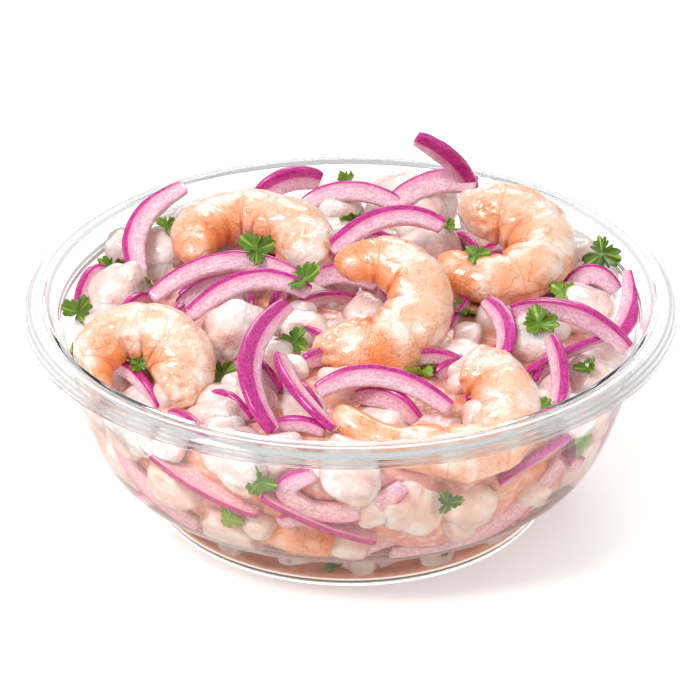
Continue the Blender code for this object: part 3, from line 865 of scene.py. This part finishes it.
@dataclass
class HeapCore:
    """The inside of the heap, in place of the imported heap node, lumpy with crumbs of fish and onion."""

    courses: int = 96
    turn_steps: int = 150
    lump: float = 2.2
    lump_span: float = 11.0
    crumb: float = 0.7
    crumb_span: float = 3.2
    base: float = 3.4
    ring_base: float = 1.3
    murk_inset: float = 1.4
    murk_bottom: float = 2.0
    murk_top: float = 5.0
    murk_share: float = 0.7

    def outline(self) -> list[tuple[float, float]]:
        """Radius and height from the middle of the top, over the edge and down to the middle below."""
        line = []
        edge = room_radius(HEAP_EDGE) - CORE_INSET
        for step in range(10):
            radius = edge * step / 10
            line.append((radius, core_height(radius)))
        for step in range(16):
            height = HEAP_EDGE - 1.0 - (HEAP_EDGE - self.base) * step / 16
            inset = CORE_INSET + (self.murk_inset - CORE_INSET) * self.murk(height)
            line.append((room_radius(height) - inset, height))
        line.append((FOOT_RADIUS - self.murk_inset, self.base))
        line.append((FOOT_RADIUS - self.murk_inset - SHELL, self.ring_base))
        line.append((FOOT_INNER + 1.0, self.ring_base))
        line.append((FOOT_INNER - 1.0, self.base))
        line.append((0.0, self.base))
        return line

    def murk(self, height: float) -> float:
        """How much the settled juice, and not the food, fills the bowl at a height."""
        return smooth_step(self.murk_top, self.murk_bottom, height)

    def build(self, finish: Finish) -> Piece:
        """Turn the outline and push it in and out by its lumps.

        Args:
            finish: the juicy mash.

        Returns:
            The core.
        """
        line = self.outline()
        lengths = [math.dist(a, b) for a, b in zip(line, line[1:])]
        whole = sum(lengths)

        def place(u: float, v: float) -> Spot:
            left = u * whole
            index = 0
            while index < len(lengths) - 1 and left > lengths[index]:
                left -= lengths[index]
                index += 1
            share = left / lengths[index]
            (r0, z0), (r1, z1) = line[index], line[index + 1]
            radius = r0 + (r1 - r0) * share
            height = z0 + (z1 - z0) * share
            point = polar(radius, math.tau * v, height)
            outward = Vector((point.x, point.y, (height - HEAP_EDGE / 2) * 2)).normalized()
            fine = abs(noise.noise(point / self.crumb_span)) * self.crumb
            still = self.murk(height)
            rise = (noise.noise(point / self.lump_span) * self.lump + fine) * (1 - still)
            lumpy = point + outward * rise
            return lumpy if still > 0 else keep_inside(lumpy), {"murk": settled(height) * self.murk_share}

        shape = new_shape("murk")
        roll(shape, self.courses, self.turn_steps, place)
        return finish_piece("heap_core", shape, finish, Slot.MIX, "ceviche_heap")


@dataclass
class Shrimp:
    """One peeled shrimp, bent along a spine that runs round a middle point."""

    name: str
    middle: Triple
    turn: float
    lean: float
    roll: float
    start: float
    sweep: float
    radii: tuple[float, ...]
    stout: float = 1.0
    bands: tuple[tuple[float, float], ...] = ()
    warmth: float = 0.0
    heights: tuple[float, ...] = (7.6, 10.4, 9.8, 9.0, 7.6, 4.8)
    widths: tuple[float, ...] = (6.0, 8.0, 7.7, 7.1, 6.0, 3.6)
    segments: int = 6
    stations: int = 132
    sides: int = 56
    lap: float = 0.05
    notch: float = 0.10
    furrow: float = 0.07
    round_start: float = 0.05
    round_end: float = 0.07

    def attitude(self) -> Matrix:
        """How the curl is turned in the bowl."""
        upright = degrees_matrix((0, 0, self.turn))
        return upright @ degrees_matrix((self.lean, 0, 0)) @ degrees_matrix((0, self.roll, 0))

    def dome(self, t: float) -> float:
        """Share of the full thickness, which rounds off at both ends."""
        near = min(t / self.round_start, (1 - t) / self.round_end, 1.0)
        return max(1 - (1 - near) ** 2.4, 0.0) ** (1 / 2.4)

    def swell(self, t: float, back: float, point: Vector) -> float:
        """Thickness beside the smooth form: laps, belly notches, the vein's furrow and lumps.

        Args:
            t: share of the way from the cut end to the tail.
            back: 1 on the back and -1 on the belly.
            point: the point on the smooth form.

        Returns:
            The factor.
        """
        ring = t * self.segments
        f = ring - math.floor(ring)
        lap = (f - 0.5) * self.lap if f < 0.93 else (0.43 - (f - 0.93) * 13.3) * self.lap
        joint = math.exp(-((min(f, 1 - f) / 0.13) ** 2))
        belly = smooth_step(0.0, 0.9, -back)
        slit = math.exp(-(((1 - back) / 0.012) ** 2)) * smooth_step(0.8, 0.6, t)
        lumps = noise.noise(point / 7.0) * 0.07 + noise.noise(point / 2.6) * 0.022
        torn = noise.noise(point / 2.4) * 0.22 * smooth_step(0.2, 0.02, t)
        return 1 + lap - joint * (0.015 + self.notch * belly) - slit * self.furrow + lumps + torn

    def tint(self, t: float, back: float, point: Vector) -> float:
        """How orange the flesh is, from 0 to 1, with painted shade that makes the lower side of each curl
        more orange.
        """
        tail = smooth_step(0.6, 0.95, t) * 0.55
        belly = smooth_step(0.0, 1.0, -back) * 0.6
        # painted shade: the flesh turns more orange towards the lower side of the curl, where shade falls
        low = smooth_step(4.0, -9.0, point.z - self.middle[2]) * 0.4
        stripes = 0.0
        for middle, half in self.bands:
            stripes += math.exp(-(((t - middle) / half) ** 4)) * smooth_step(-0.3, 0.5, back)
        patches = noise.noise(point / 9.0) * 0.3
        cut = -0.25 * smooth_step(0.14, 0.02, t)
        return min(max(self.warmth + tail + belly + low + stripes * 0.7 + patches + cut, 0.0), 1.0)

    def build(self, finish: Finish) -> Piece:
        """Roll the body round its spine.

        Args:
            finish: the cooked flesh.

        Returns:
            The shrimp.
        """
        attitude = self.attitude()
        middle = Vector(self.middle)
        normal = attitude @ Vector((0, 0, 1))

        def place(u: float, v: float) -> Spot:
            angle = math.radians(self.start + self.sweep * u)
            outward = attitude @ Vector((math.cos(angle), math.sin(angle), 0))
            spine = middle + outward * smooth_along(self.radii, u)
            back = math.cos(math.tau * v)
            arm = outward * smooth_along(self.heights, u) * back
            arm += normal * smooth_along(self.widths, u) * math.sin(math.tau * v)
            arm *= self.stout
            point = spine + arm * self.dome(u) * self.swell(u, back, spine + arm)
            return keep_inside(point), {"tint": self.tint(u, back, point)}

        shape = new_shape("tint")
        roll(shape, self.stations, self.sides, place)
        return finish_piece(self.name + "_flesh", shape, finish, Slot.SHRIMP, self.name)


@dataclass
class Sliver:
    """One sliver of red onion: an end, the crest that it bends over, and the other end."""

    name: str
    points: tuple[Triple, ...]
    broad: float = 1.0
    width: float = 6.2
    thickness: float = 3.4
    tip: float = 0.55
    taper_power: float = 0.4
    skin: float = 0.15
    stations: int = 64
    sides: int = 24
    corner_power: float = 3.4

    def add_to(self, shape: Shape) -> None:
        """Add the sliver to a mesh.

        Args:
            shape: the mesh, with the values that onion carries.
        """
        start, crest, end = [Vector(point) for point in self.points]
        handle = crest * 2 - (start + end) / 2
        normal = (end - start).cross(crest - start).normalized()
        length = (crest - start).length + (end - crest).length
        shift = start.x + start.y

        def place(u: float, v: float) -> Spot:
            spot = start * (1 - u) ** 2 + handle * 2 * u * (1 - u) + end * u**2
            along = ((handle - start) * (1 - u) + (end - handle) * u).normalized()
            outward = normal.cross(along)
            if outward.dot(crest - (start + end) / 2) < 0:
                outward = -outward
            taper = self.tip + (1 - self.tip) * math.sin(math.pi * u) ** self.taper_power
            near = min(u, 1 - u) / 0.02
            close = 1.0 if near >= 1 else max(1 - (1 - near) ** 3, 0.0) ** (1 / 3)
            angle = math.tau * v
            raise_to = 2 / self.corner_power
            rind = math.copysign(abs(math.cos(angle)) ** raise_to, math.cos(angle))
            side = math.copysign(abs(math.sin(angle)) ** raise_to, math.sin(angle))
            half_width = self.width / 2 * self.broad * taper
            half_thick = self.thickness / 2 * (1 + taper) / 2 * (0.9 - 0.1 * rind)
            bow = 0.12 * (1 - rind * rind)
            ripple = 1 + 0.06 * noise.noise((spot + outward * rind * 3) / 5.0)
            point = spot + outward * half_width * rind * close * ripple
            point += normal * half_thick * side * close * ripple * (1 - bow)
            values = {
                "rind": rind + self.skin,
                "run": u * length + shift,
                "across": rind * half_width + side,
            }
            return keep_inside(point), values

        roll(shape, self.stations, self.sides, place)

    def build(self, finish: Finish) -> Piece:
        """Make the sliver a piece of its own.

        Args:
            finish: the onion.

        Returns:
            The sliver.
        """
        shape = new_shape(*ONION_VALUES)
        self.add_to(shape)
        return finish_piece(self.name + "_sliver", shape, finish, Slot.ONION, self.name)


@dataclass
class FishChunk:
    """One rounded, uneven block of white fish."""

    middle: Vector
    size: Triple
    seed: int
    power: float = 3.0
    tilt: float = 0.5
    cuts: int = 11
    uneven: float = 0.18
    fine_uneven: float = 0.05
    flake: float = 0.005
    flake_span: float = 3.0

    def add_to(self, shape: Shape) -> None:
        """Add the chunk to a mesh.

        Args:
            shape: the mesh, with the values that fish carries.
        """
        draw = random.Random(self.seed)
        tilts = [draw.uniform(-self.tilt, self.tilt) for _ in range(2)]
        attitude = Euler([*tilts, draw.uniform(0, math.pi)]).to_matrix()
        shift = Vector((self.seed * 7.3, 0, 0))
        chunk = new_shape("grain")
        bmesh.ops.create_cube(chunk, size=2.0)
        bmesh.ops.subdivide_edges(chunk, edges=chunk.edges, cuts=self.cuts, use_grid_fill=True)
        for vertex in chunk.verts:
            x, y, z = vertex.co
            reach = (abs(x) ** self.power + abs(y) ** self.power + abs(z) ** self.power) ** (1 / self.power)
            block = Vector((x * self.size[0], y * self.size[1], z * self.size[2])) / (2 * reach)
            lump = noise.noise(block / 6.5 + shift) * self.uneven
            lump += noise.noise(block / 2.6 + shift) * self.fine_uneven
            layers = abs(math.sin(math.pi * block.x / self.flake_span + 2 * noise.noise(block / 5 + shift)))
            block *= 1 + lump + (layers**0.5 - 0.7) * self.flake
            vertex.co = keep_inside(self.middle + attitude @ block)
            set_values(chunk, vertex, {"grain": block.x + self.seed})
        bmesh.ops.recalc_face_normals(chunk, faces=chunk.faces)
        mesh = bpy.data.meshes.new("fish_chunk")
        chunk.to_mesh(mesh)
        chunk.free()
        shape.from_mesh(mesh)
        bpy.data.meshes.remove(mesh)


@dataclass
class Leaf:
    """One torn cilantro leaf of three toothed lobes."""

    place: tuple[float, float]
    span: float
    tilt: Triple
    carrier: Carrier = Carrier.HEAP
    stand: float = 0.3
    thickness: float = 0.35
    rings: int = 6
    sides: int = 120
    wave: float = 0.1

    def edge(self, angle: float, turn: float) -> float:
        """Radius of the outline beside the half span: three lobes, each with teeth."""
        lobe = 0.82 + 0.20 * math.cos(3 * angle) + 0.08 * math.cos(angle + turn)
        notch = 0.2 * math.exp(-(((math.cos(3 * angle) + 1) / 0.1) ** 2))
        teeth = 0.24 * (abs(math.cos(7.5 * angle + 0.5 * math.sin(2 * angle + turn))) ** 0.6 - 0.72)
        return max(lobe - notch + teeth, 0.22)

    def add_at(self, shape: Shape, middle: Vector, attitude: Matrix, seed: int) -> None:
        """Add the leaf to a mesh.

        Args:
            shape: the mesh, with the values that leaves carry.
            middle: where the leaf's middle is.
            attitude: how it is turned.
            seed: tells one leaf from the next.
        """
        draw = random.Random(seed)
        turn = draw.uniform(0, math.tau)
        shade = draw.uniform(-0.35, 0.5)
        curl = draw.uniform(0.02, 0.2)

        def place(u: float, v: float) -> Spot:
            face = 1 if u < 0.5 else -1
            share = (2 * u if u < 0.5 else 2 * (1 - u)) ** 0.8
            angle = math.tau * v
            radius = self.span / 2 * self.edge(angle, turn) * share
            wave = self.wave * self.span * math.sin(2 * angle) * share
            wave += curl * self.span * (share**2 - 0.5)
            wave += 0.035 * self.span * math.sin(9 * angle + turn) * share**2
            rib = math.exp(-(((1 - math.cos(3 * angle)) / 0.05) ** 2))
            branch = math.exp(-((math.cos(6 * angle + 5 * share) - 1) / 0.12) ** 2) * 0.6
            vein = max(rib, branch * share)
            thick = self.thickness / 2 * (1 - 0.7 * share**3)
            local = polar(radius, angle, wave + face * thick)
            return keep_inside(middle + attitude @ local), {"vein": vein, "shade": shade}

        roll(shape, 2 * self.rings, self.sides, place)


SHRIMPS = (
    Shrimp("shrimp_back_left", (-31, 28, 64), 0, 4, 0, -42, 268, (19.5, 14.0, 12.8, 14.0)),
    Shrimp("shrimp_centre", (7, -13, 65), 0, 32, 0, -145, 280, (17.0, 12.4, 13.0, 14.0), 1.0,
           ((0.21, 0.045),)),
    Shrimp("shrimp_back_right", (41, 23, 64), 0, 17, 0, 124, -292, (14.5, 14.2, 13.2, 13.4), 1.0,
           (), 0.12),
    Shrimp("shrimp_front_left", (-57, -34, 56), 0, 30, 0, -54, 279, (11.8, 11.4, 12.6, 13.5), 0.92),
    Shrimp("shrimp_front_right", (25, -50, 55), 0, 22, 8, 67, -237, (15.8, 17.4, 18.6, 17.8, 28.0), 0.9),
    Shrimp("shrimp_low_front", (-9, -50, 24), -8, 8, 8, -190, 200, (15.0, 12.5, 12.5, 15.0), 0.85,
           ((0.3, 0.05), (0.6, 0.05)), 0.6),
    Shrimp("shrimp_low_right", (37, -35, 28), 47, 10, -18, -190, 200, (15.0, 12.5, 12.5, 15.0), 0.85,
           ((0.3, 0.05), (0.6, 0.05)), 0.6),
)

TOP_SLIVERS = (
    Sliver("onion_01", ((-48, 55, 68), (-61, 40, 63), (-60, 21, 56)), 1.15, skin=0.3),
    Sliver("onion_02", ((19, 54, 84), (29, 57, 76), (36, 61, 64)), 1.05, skin=0.95),
    Sliver("onion_03", ((-14, 56, 61), (0, 58, 65), (15, 54, 62)), 1.0, skin=0.1),
    Sliver("onion_04", ((13, 55, 63), (26, 60, 67), (37, 59, 66)), 1.25, skin=0.05),
    Sliver("onion_05", ((-6, 20, 64), (11, 31, 70), (27, 30, 67)), 1.05, skin=0.5),
    Sliver("onion_06", ((-56, -1, 60), (-36, 8, 67), (-15, 5, 64)), 1.0, skin=0.15),
    Sliver("onion_07", ((-45, -12, 60), (-28, -3, 67), (-11, -5, 64)), 1.0, skin=0.35),
    Sliver("onion_08", ((-17, -13, 65), (-27, -43, 63), (-20, -62, 52)), 1.15, skin=0.95),
    Sliver("onion_09", ((-19, -34, 60), (-14, -52, 59), (-4, -62, 53)), 0.95, skin=0.2),
    Sliver("onion_10", ((-9, -51, 58), (8, -49, 62), (27, -55, 55)), 1.0, skin=0.3),
    Sliver("onion_11", ((45, -7, 59), (62, -13, 62), (77, -20, 54)), 1.05, skin=0.2),
    Sliver("onion_12", ((79, 14, 61), (79, 1, 57), (73, -12, 53)), 1.05, skin=0.8),
    Sliver("onion_13", ((55, -24, 60), (57, -37, 57), (56, -47, 52)), 0.9, skin=0.45),
)

SUNK_SLIVERS = (
    Sliver("under_back", ((-27, 69, 58), (-18, 72, 62), (-9, 75, 60)), 1.3, skin=0.6),
    Sliver("under_arch", ((-48, 2, 56), (-33, 10, 61), (-16, 9, 59))),
    Sliver("front_low", ((2, -46, 54), (11, -51, 56), (18, -56, 52))),
    Sliver("centre_gap", ((-13, 9, 58), (-3, 11, 62), (8, 9, 59))),
    Sliver("right_upright", ((38, -2, 60), (43, -14, 59), (42, -26, 56)), skin=0.9),
    Sliver("right_cross", ((46, -33, 53), (58, -26, 56), (70, -12, 53))),
    Sliver("right_rear", ((62, 15, 55), (69, 18, 58), (76, 15, 54))),
    Sliver("left_rear", ((-77, 10, 51), (-74, 21, 55), (-70, 27, 53))),
)

# Slivers against the wall: azimuth in degrees and height of the start, the crest and the end
WALL_SLIVERS = (
    ((-139, 45), (-123, 37), (-109, 32)),
    ((-146, 38), (-140, 27), (-127, 19)),
    ((-108, 39), (-98, 32), (-84, 24)),
    ((-97, 48), (-103, 41), (-97, 35)),
    ((-100, 36), (-89, 35), (-79, 43)),
    ((-81, 17), (-59, 18), (-39, 35)),
    ((-58, 37), (-49, 41), (-39, 42)),
    ((-24, 22), (-12, 34), (3, 40)),
    ((22, 44), (36, 33), (50, 36)),
    ((58, 20), (72, 28), (88, 40)),
    ((98, 42), (112, 30), (126, 27)),
    ((140, 46), (154, 40), (166, 24)),
    ((182, 28), (194, 38), (206, 42)),
)
WALL_SLIVER_DEPTH = 2.4

# Middle and full sizes of the fish chunks on top
TOP_CHUNKS = (
    ((-68, 46, 52), (17, 15, 13)),
    ((-66, 18, 51), (17, 18, 16)),
    ((-31, -16, 56), (19, 18, 17)),
    ((-34, -47, 47), (21, 19, 17)),
    ((13, 70, 55), (20, 16, 13)),
    ((68, 42, 51), (16, 18, 14)),
    ((66, 7, 52), (17, 17, 14)),
    ((49, -14, 52), (16, 15, 14)),
    ((67, -24, 45), (17, 16, 15)),
    ((-5, 42, 55), (17, 18, 14)),
    ((-12, -46, 46), (18, 16, 14)),
    ((43, 62, 52), (19, 15, 14)),
    ((-45, 58, 53), (17, 15, 13)),
    ((31, -24, 51), (16, 16, 13)),
    ((-62, -8, 48), (17, 16, 14)),
    ((-8, 12, 52), (18, 17, 13)),
    ((10, -50, 47), (17, 15, 13)),
    ((50, -44, 46), (16, 16, 14)),
    ((24, 44, 53), (18, 16, 13)),
    ((-58, -50, 45), (15, 15, 13)),
    ((-22, 62, 53), (18, 15, 13)),
    ((58, 26, 51), (16, 16, 13)),
    ((20, 57, 55), (18, 14, 15)),
    ((24, 66, 55), (16, 13, 13)),
    ((-4, 60, 57), (16, 11, 13)),
    ((-32, 42, 53), (17, 15, 14)),
    ((-56, 41, 52), (16, 15, 14)),
    ((-71, -3, 50), (13, 14, 13)),
    ((71, 25, 51), (14, 14, 14)),
    ((-14, -8, 52), (16, 17, 13)),
)

# Azimuth in degrees, height and full size of the chunks against the front wall
FRONT_CHUNKS = (
    (-146, 42, 19),
    (-131, 32, 20),
    (-114, 45, 18),
    (-119, 21, 19),
    (-90, 46, 17),
    (-77, 33, 20),
    (-62, 31, 17),
    (-35, 46, 16),
    (-28, 30, 18),
)
REAR_ROWS = ((23, 17.0, -12.0), (42, 19.0, 0.0))
REAR_FROM, REAR_TO, REAR_STEP = -6, 200, 34
CHUNK_DEPTH = 0.42
CHUNK_SHAPE = (1.0, 0.9, 0.8)
WALL_SEED = 50
SCRAP_SIZE = (7.0, 12.0)     # smallest and largest size of a scrap of fish
SCRAP_REACH = (8.0, 12.0)    # half the length of a scrap of onion
GOLDEN_ANGLE = 137.5         # degrees from one scrap to the next

LEAVES = (
    Leaf((-76, -3), 10.5, (40, -12, 60)),
    Leaf((-69, 28), 10.5, (48, 0, 20)),
    Leaf((-56, 17), 10.5, (45, 5, 140)),
    Leaf((-53, 42), 7.5, (40, 0, 50)),
    Leaf((-1, 62), 9.5, (68, 0, 70)),
    Leaf((12, 61), 10.0, (30, 0, 10)),
    Leaf((1.5, 45), 9.0, (30, 5, 200)),
    Leaf((28.5, 44), 6.5, (20, 0, 60)),
    Leaf((72, 24), 12.0, (45, 0, 330)),
    Leaf((60, 5), 9.0, (20, 0, 20)),
    Leaf((32.5, 1), 10.0, (30, 0, 100)),
    Leaf((52.5, -15), 11.0, (25, 12, 350)),
    Leaf((-15, -22), 10.0, (30, 12, 310)),
    Leaf((-35, -32), 10.0, (25, -8, 30)),
    Leaf((-58, -32), 6.5, (20, 0, 10)),
    Leaf((20, -34), 9.0, (20, 0, 180)),
    Leaf((52, -50), 7.0, (25, 0, 60)),
    Leaf((65, -29), 7.0, (25, 0, 300)),
    Leaf((35.5, 12.5), 8.0, (25, 4, 15), Carrier.SHRIMP),
    Leaf((-26, 8.3), 11.0, (40, -6, 25), Carrier.ONION),
    Leaf((-13.2, -3.6), 11.0, (12, -30, 0), Carrier.ONION),
)

# Leaves against the wall: azimuth in degrees, height and span
WALL_LEAVES = (
    (-108, 44, 10),
    (-116, 28, 8),
    (-70, 36, 8),
    (-61, 9, 8),
    (-95, 7, 6),
    (-35, 38, 9),
    (-14, 24, 8),
    (31, 24, 8),
    (64, 42, 9),
    (105, 20, 8),
    (148, 30, 9),
    (186, 46, 8),
)
WALL_LEAF_TILT = 78


@dataclass
class Heap:
    """The fish, the half-sunk onion and the leaves that lie on the core and press against the wall."""

    seed: int = 11
    top_scraps: int = 110
    wall_scraps: int = 40
    foot_scraps: int = 34
    scrap_reach: float = 70.0
    bare_spot: Triple = (7.0, -57.0, 15.0)     # middle and radius, where a tail shows

    def scrap_places(self) -> list[tuple[Vector, float, int]]:
        """Places for the small scraps that fill the gaps, spread evenly over the core and the wall.

        Returns:
            A place, an azimuth in degrees and a number for each scrap.
        """
        draw = random.Random(self.seed)
        places = []
        for index in range(self.top_scraps):
            radius = self.scrap_reach * math.sqrt((index + 0.5) / self.top_scraps)
            azimuth = index * GOLDEN_ANGLE + draw.uniform(-8, 8)
            spot = polar(radius, math.radians(azimuth), core_height(radius) + draw.uniform(-1.5, 1.0))
            if math.dist(spot[:2], self.bare_spot[:2]) > self.bare_spot[2]:
                places.append((spot, azimuth, index))
        for index in range(self.wall_scraps):
            azimuth = index * GOLDEN_ANGLE
            height = draw.uniform(17.0, 47.0)
            places.append((on_wall(azimuth, height, 4.6), azimuth, self.top_scraps + index))
        for index in range(self.foot_scraps):
            azimuth = index * 360 / self.foot_scraps
            spot = on_wall(azimuth, draw.uniform(4.5, 9.0), draw.uniform(2.5, 3.8))
            places.append((spot, azimuth, self.top_scraps + self.wall_scraps + index))
        return places

    def build_fish(self, finish: Finish) -> Piece:
        """All the chunks of fish.

        Args:
            finish: the cured fish.

        Returns:
            The fish, as one piece.
        """
        shape = new_shape("grain")
        for index, (middle, size) in enumerate(TOP_CHUNKS):
            FishChunk(Vector(middle), size, index).add_to(shape)
        places = list(FRONT_CHUNKS)
        for height, size, shift in REAR_ROWS:
            for azimuth in range(REAR_FROM, REAR_TO, REAR_STEP):
                places.append((azimuth + shift, height, size))
        for index, (azimuth, height, size) in enumerate(places):
            middle = on_wall(azimuth, height, size * CHUNK_DEPTH)
            sizes = tuple(size * share for share in CHUNK_SHAPE)
            FishChunk(middle, sizes, WALL_SEED + index).add_to(shape)
        for spot, _, index in self.scrap_places():
            if index % 2 == 0:
                draw = random.Random(index)
                sizes = tuple(draw.uniform(*SCRAP_SIZE) for _ in range(3))
                FishChunk(spot, sizes, 2 * WALL_SEED + index, cuts=7).add_to(shape)
        return finish_piece("fish_chunks", shape, finish, Slot.MIX, "ceviche_heap")

    def build_slivers(self, finish: Finish) -> Piece:
        """The half-sunk onion and the onion against the wall.

        Args:
            finish: the pickled onion.

        Returns:
            The slivers, as one piece.
        """
        shape = new_shape(*ONION_VALUES)
        for sliver in SUNK_SLIVERS:
            sliver.add_to(shape)
        for ends in WALL_SLIVERS:
            points = tuple(tuple(on_wall(azimuth, height, WALL_SLIVER_DEPTH)) for azimuth, height in ends)
            Sliver("against_wall", points, skin=-0.02).add_to(shape)
        for spot, azimuth, index in self.scrap_places():
            if index % 2 == 1:
                draw = random.Random(index)
                along = math.radians(azimuth + draw.uniform(50, 130))
                reach = Vector((math.cos(along), math.sin(along), draw.uniform(-0.2, 0.2)))
                reach *= draw.uniform(*SCRAP_REACH)
                crest = spot + Vector((0, 0, draw.uniform(2.0, 4.0)))
                points = (tuple(spot - reach), tuple(crest), tuple(spot + reach))
                Sliver("scrap", points, draw.uniform(0.7, 0.95), stations=32, sides=16).add_to(shape)
        return finish_piece("sunk_onion", shape, finish, Slot.MIX, "ceviche_heap")

    def build_leaves(self, finish: Finish, carriers: dict[Carrier, list[Piece]]) -> Piece:
        """Lay the leaves on what is under them, and press the others against the wall.

        Args:
            finish: the cilantro.
            carriers: the pieces that leaves can lie on, by kind.

        Returns:
            The leaves, as one piece.
        """
        grounds = {}
        for kind, pieces in carriers.items():
            grounds[kind] = []
            for piece in pieces:
                points = [vertex.co / MM for vertex in piece.data.vertices]
                sides = [face.vertices for face in piece.data.polygons]
                grounds[kind].append(BVHTree.FromPolygons(points, sides))
        shape = new_shape(*LEAF_VALUES)
        for seed, leaf in enumerate(LEAVES):
            above = Vector((*leaf.place, 2 * RIM_TOP))
            hits = [ground.ray_cast(above, Vector((0, 0, -1)))[0] for ground in grounds[leaf.carrier]]
            ground = max((hit for hit in hits if hit), key=lambda hit: hit.z)
            stand = leaf.span * leaf.stand * math.sin(math.radians(leaf.tilt[0])) + 0.3
            leaf.add_at(shape, ground + Vector((0, 0, stand)), degrees_matrix(leaf.tilt), seed)
        for index, (azimuth, height, span) in enumerate(WALL_LEAVES):
            attitude = degrees_matrix((WALL_LEAF_TILT, 0, azimuth + 90))
            leaf = Leaf((0, 0), span, (0, 0, 0), wave=0.03)
            leaf.add_at(shape, on_wall(azimuth, height, 0.3), attitude, len(LEAVES) + index)
        return finish_piece("cilantro_leaves", shape, finish, Slot.MIX, "ceviche_heap")


@dataclass
class Studio:
    """The pale floor, the soft lights and the camera."""

    aim: Triple = (0.0, 0.0, 43.3)
    distance: float = 1000.0
    elevation: float = 28.51
    lens: float = 182.1
    sensor: float = 36.0
    floor_half: float = 6.0
    floor_colour: str = "#FCFCFC"
    floor_glow: float = 0.3
    sky_top: float = 0.62
    sky_side: float = 0.4
    softboxes: tuple[tuple[Triple, float, float], ...] = (
        ((-0.7, -0.45, 1.15), 0.45, 12.0),
        ((0.85, -0.55, 0.8), 0.4, 2.4),
        ((0.1, 1.1, 0.9), 0.6, 5.0),
    )

    def add_camera(self) -> None:
        """A long lens that looks down on the bowl."""
        data = bpy.data.cameras.new("photo_camera")
        data.lens = self.lens
        data.sensor_width = self.sensor
        data.clip_start = 0.05
        data.clip_end = 50.0
        camera = bpy.data.objects.new("photo_camera", data)
        tilt = math.radians(self.elevation)
        aim = Vector(self.aim) * MM
        camera.location = aim + Vector((0, -math.cos(tilt), math.sin(tilt))) * self.distance * MM
        camera.rotation_euler = (math.pi / 2 - tilt, 0, 0)
        bpy.context.scene.collection.objects.link(camera)
        bpy.context.scene.camera = camera

    def add_floor(self) -> None:
        """A plain matt floor."""
        shape = bmesh.new()
        bmesh.ops.create_grid(shape, x_segments=1, y_segments=1, size=self.floor_half)
        mesh = bpy.data.meshes.new("studio_floor")
        shape.to_mesh(mesh)
        shape.free()
        made, node = new_finish("studio_paper")
        paper = {
            "Base Color": linear(self.floor_colour),
            "Roughness": 0.9,
            "Specular IOR Level": 0.1,
            "Emission Color": WHITE,
            "Emission Strength": self.floor_glow,
        }
        node("OutputMaterial", node("BsdfPrincipled", paper))
        mesh.materials.append(made)
        floor = bpy.data.objects.new("studio_floor", mesh)
        bpy.context.scene.collection.objects.link(floor)

    def add_lights(self) -> None:
        """Soft boxes, and a sky that is white above and greyer at the sides."""
        for index, (place, size, power) in enumerate(self.softboxes):
            data = bpy.data.lights.new(f"softbox_{index}", "AREA")
            data.shape = "SQUARE"
            data.size = size
            data.energy = power
            lamp = bpy.data.objects.new(f"softbox_{index}", data)
            lamp.location = place
            lamp.rotation_euler = (Vector((0, 0, 0.04)) - lamp.location).to_track_quat("-Z", "Y").to_euler()
            bpy.context.scene.collection.objects.link(lamp)
        world = bpy.data.worlds.new("studio_sky")
        world.use_nodes = True
        tree = world.node_tree
        tree.nodes.clear()
        way = add_node(tree, "SeparateXYZ", add_node(tree, "TexCoord", out="Generated"), out="Z")
        strength = add_node(tree, "MapRange", way, 0.0, 0.7, self.sky_side, self.sky_top, **SOFT)
        add_node(tree, "OutputWorld", add_node(tree, "Background", WHITE, strength))
        bpy.context.scene.world = world
        bpy.context.scene.view_settings.view_transform = "Standard"


def main() -> None:
    """Build the studio, the bowl and the food, and report each piece."""
    logging.basicConfig(level=logging.INFO, format="%(name)s: %(message)s")
    studio = Studio()
    studio.add_camera()
    studio.add_floor()
    studio.add_lights()

    onion = RedOnion().material()
    flesh = CookedShrimp().material()
    Bowl().build(CLEAR_PLASTIC.material())
    Juice().build(JUICE.material())
    core = HeapCore().build(JuicyMash().material())
    shrimps = [shrimp.build(flesh) for shrimp in SHRIMPS]
    slivers = [sliver.build(onion) for sliver in TOP_SLIVERS]
    heap = Heap()
    fish = heap.build_fish(WhiteFish().material())
    sunk = heap.build_slivers(onion)
    carriers = {Carrier.HEAP: [core, fish, sunk], Carrier.SHRIMP: shrimps, Carrier.ONION: slivers}
    heap.build_leaves(Cilantro().material(), carriers)
    LOG.info("%d shrimps and %d loose slivers", len(shrimps), len(slivers))


if __name__ == "__main__":
    main()
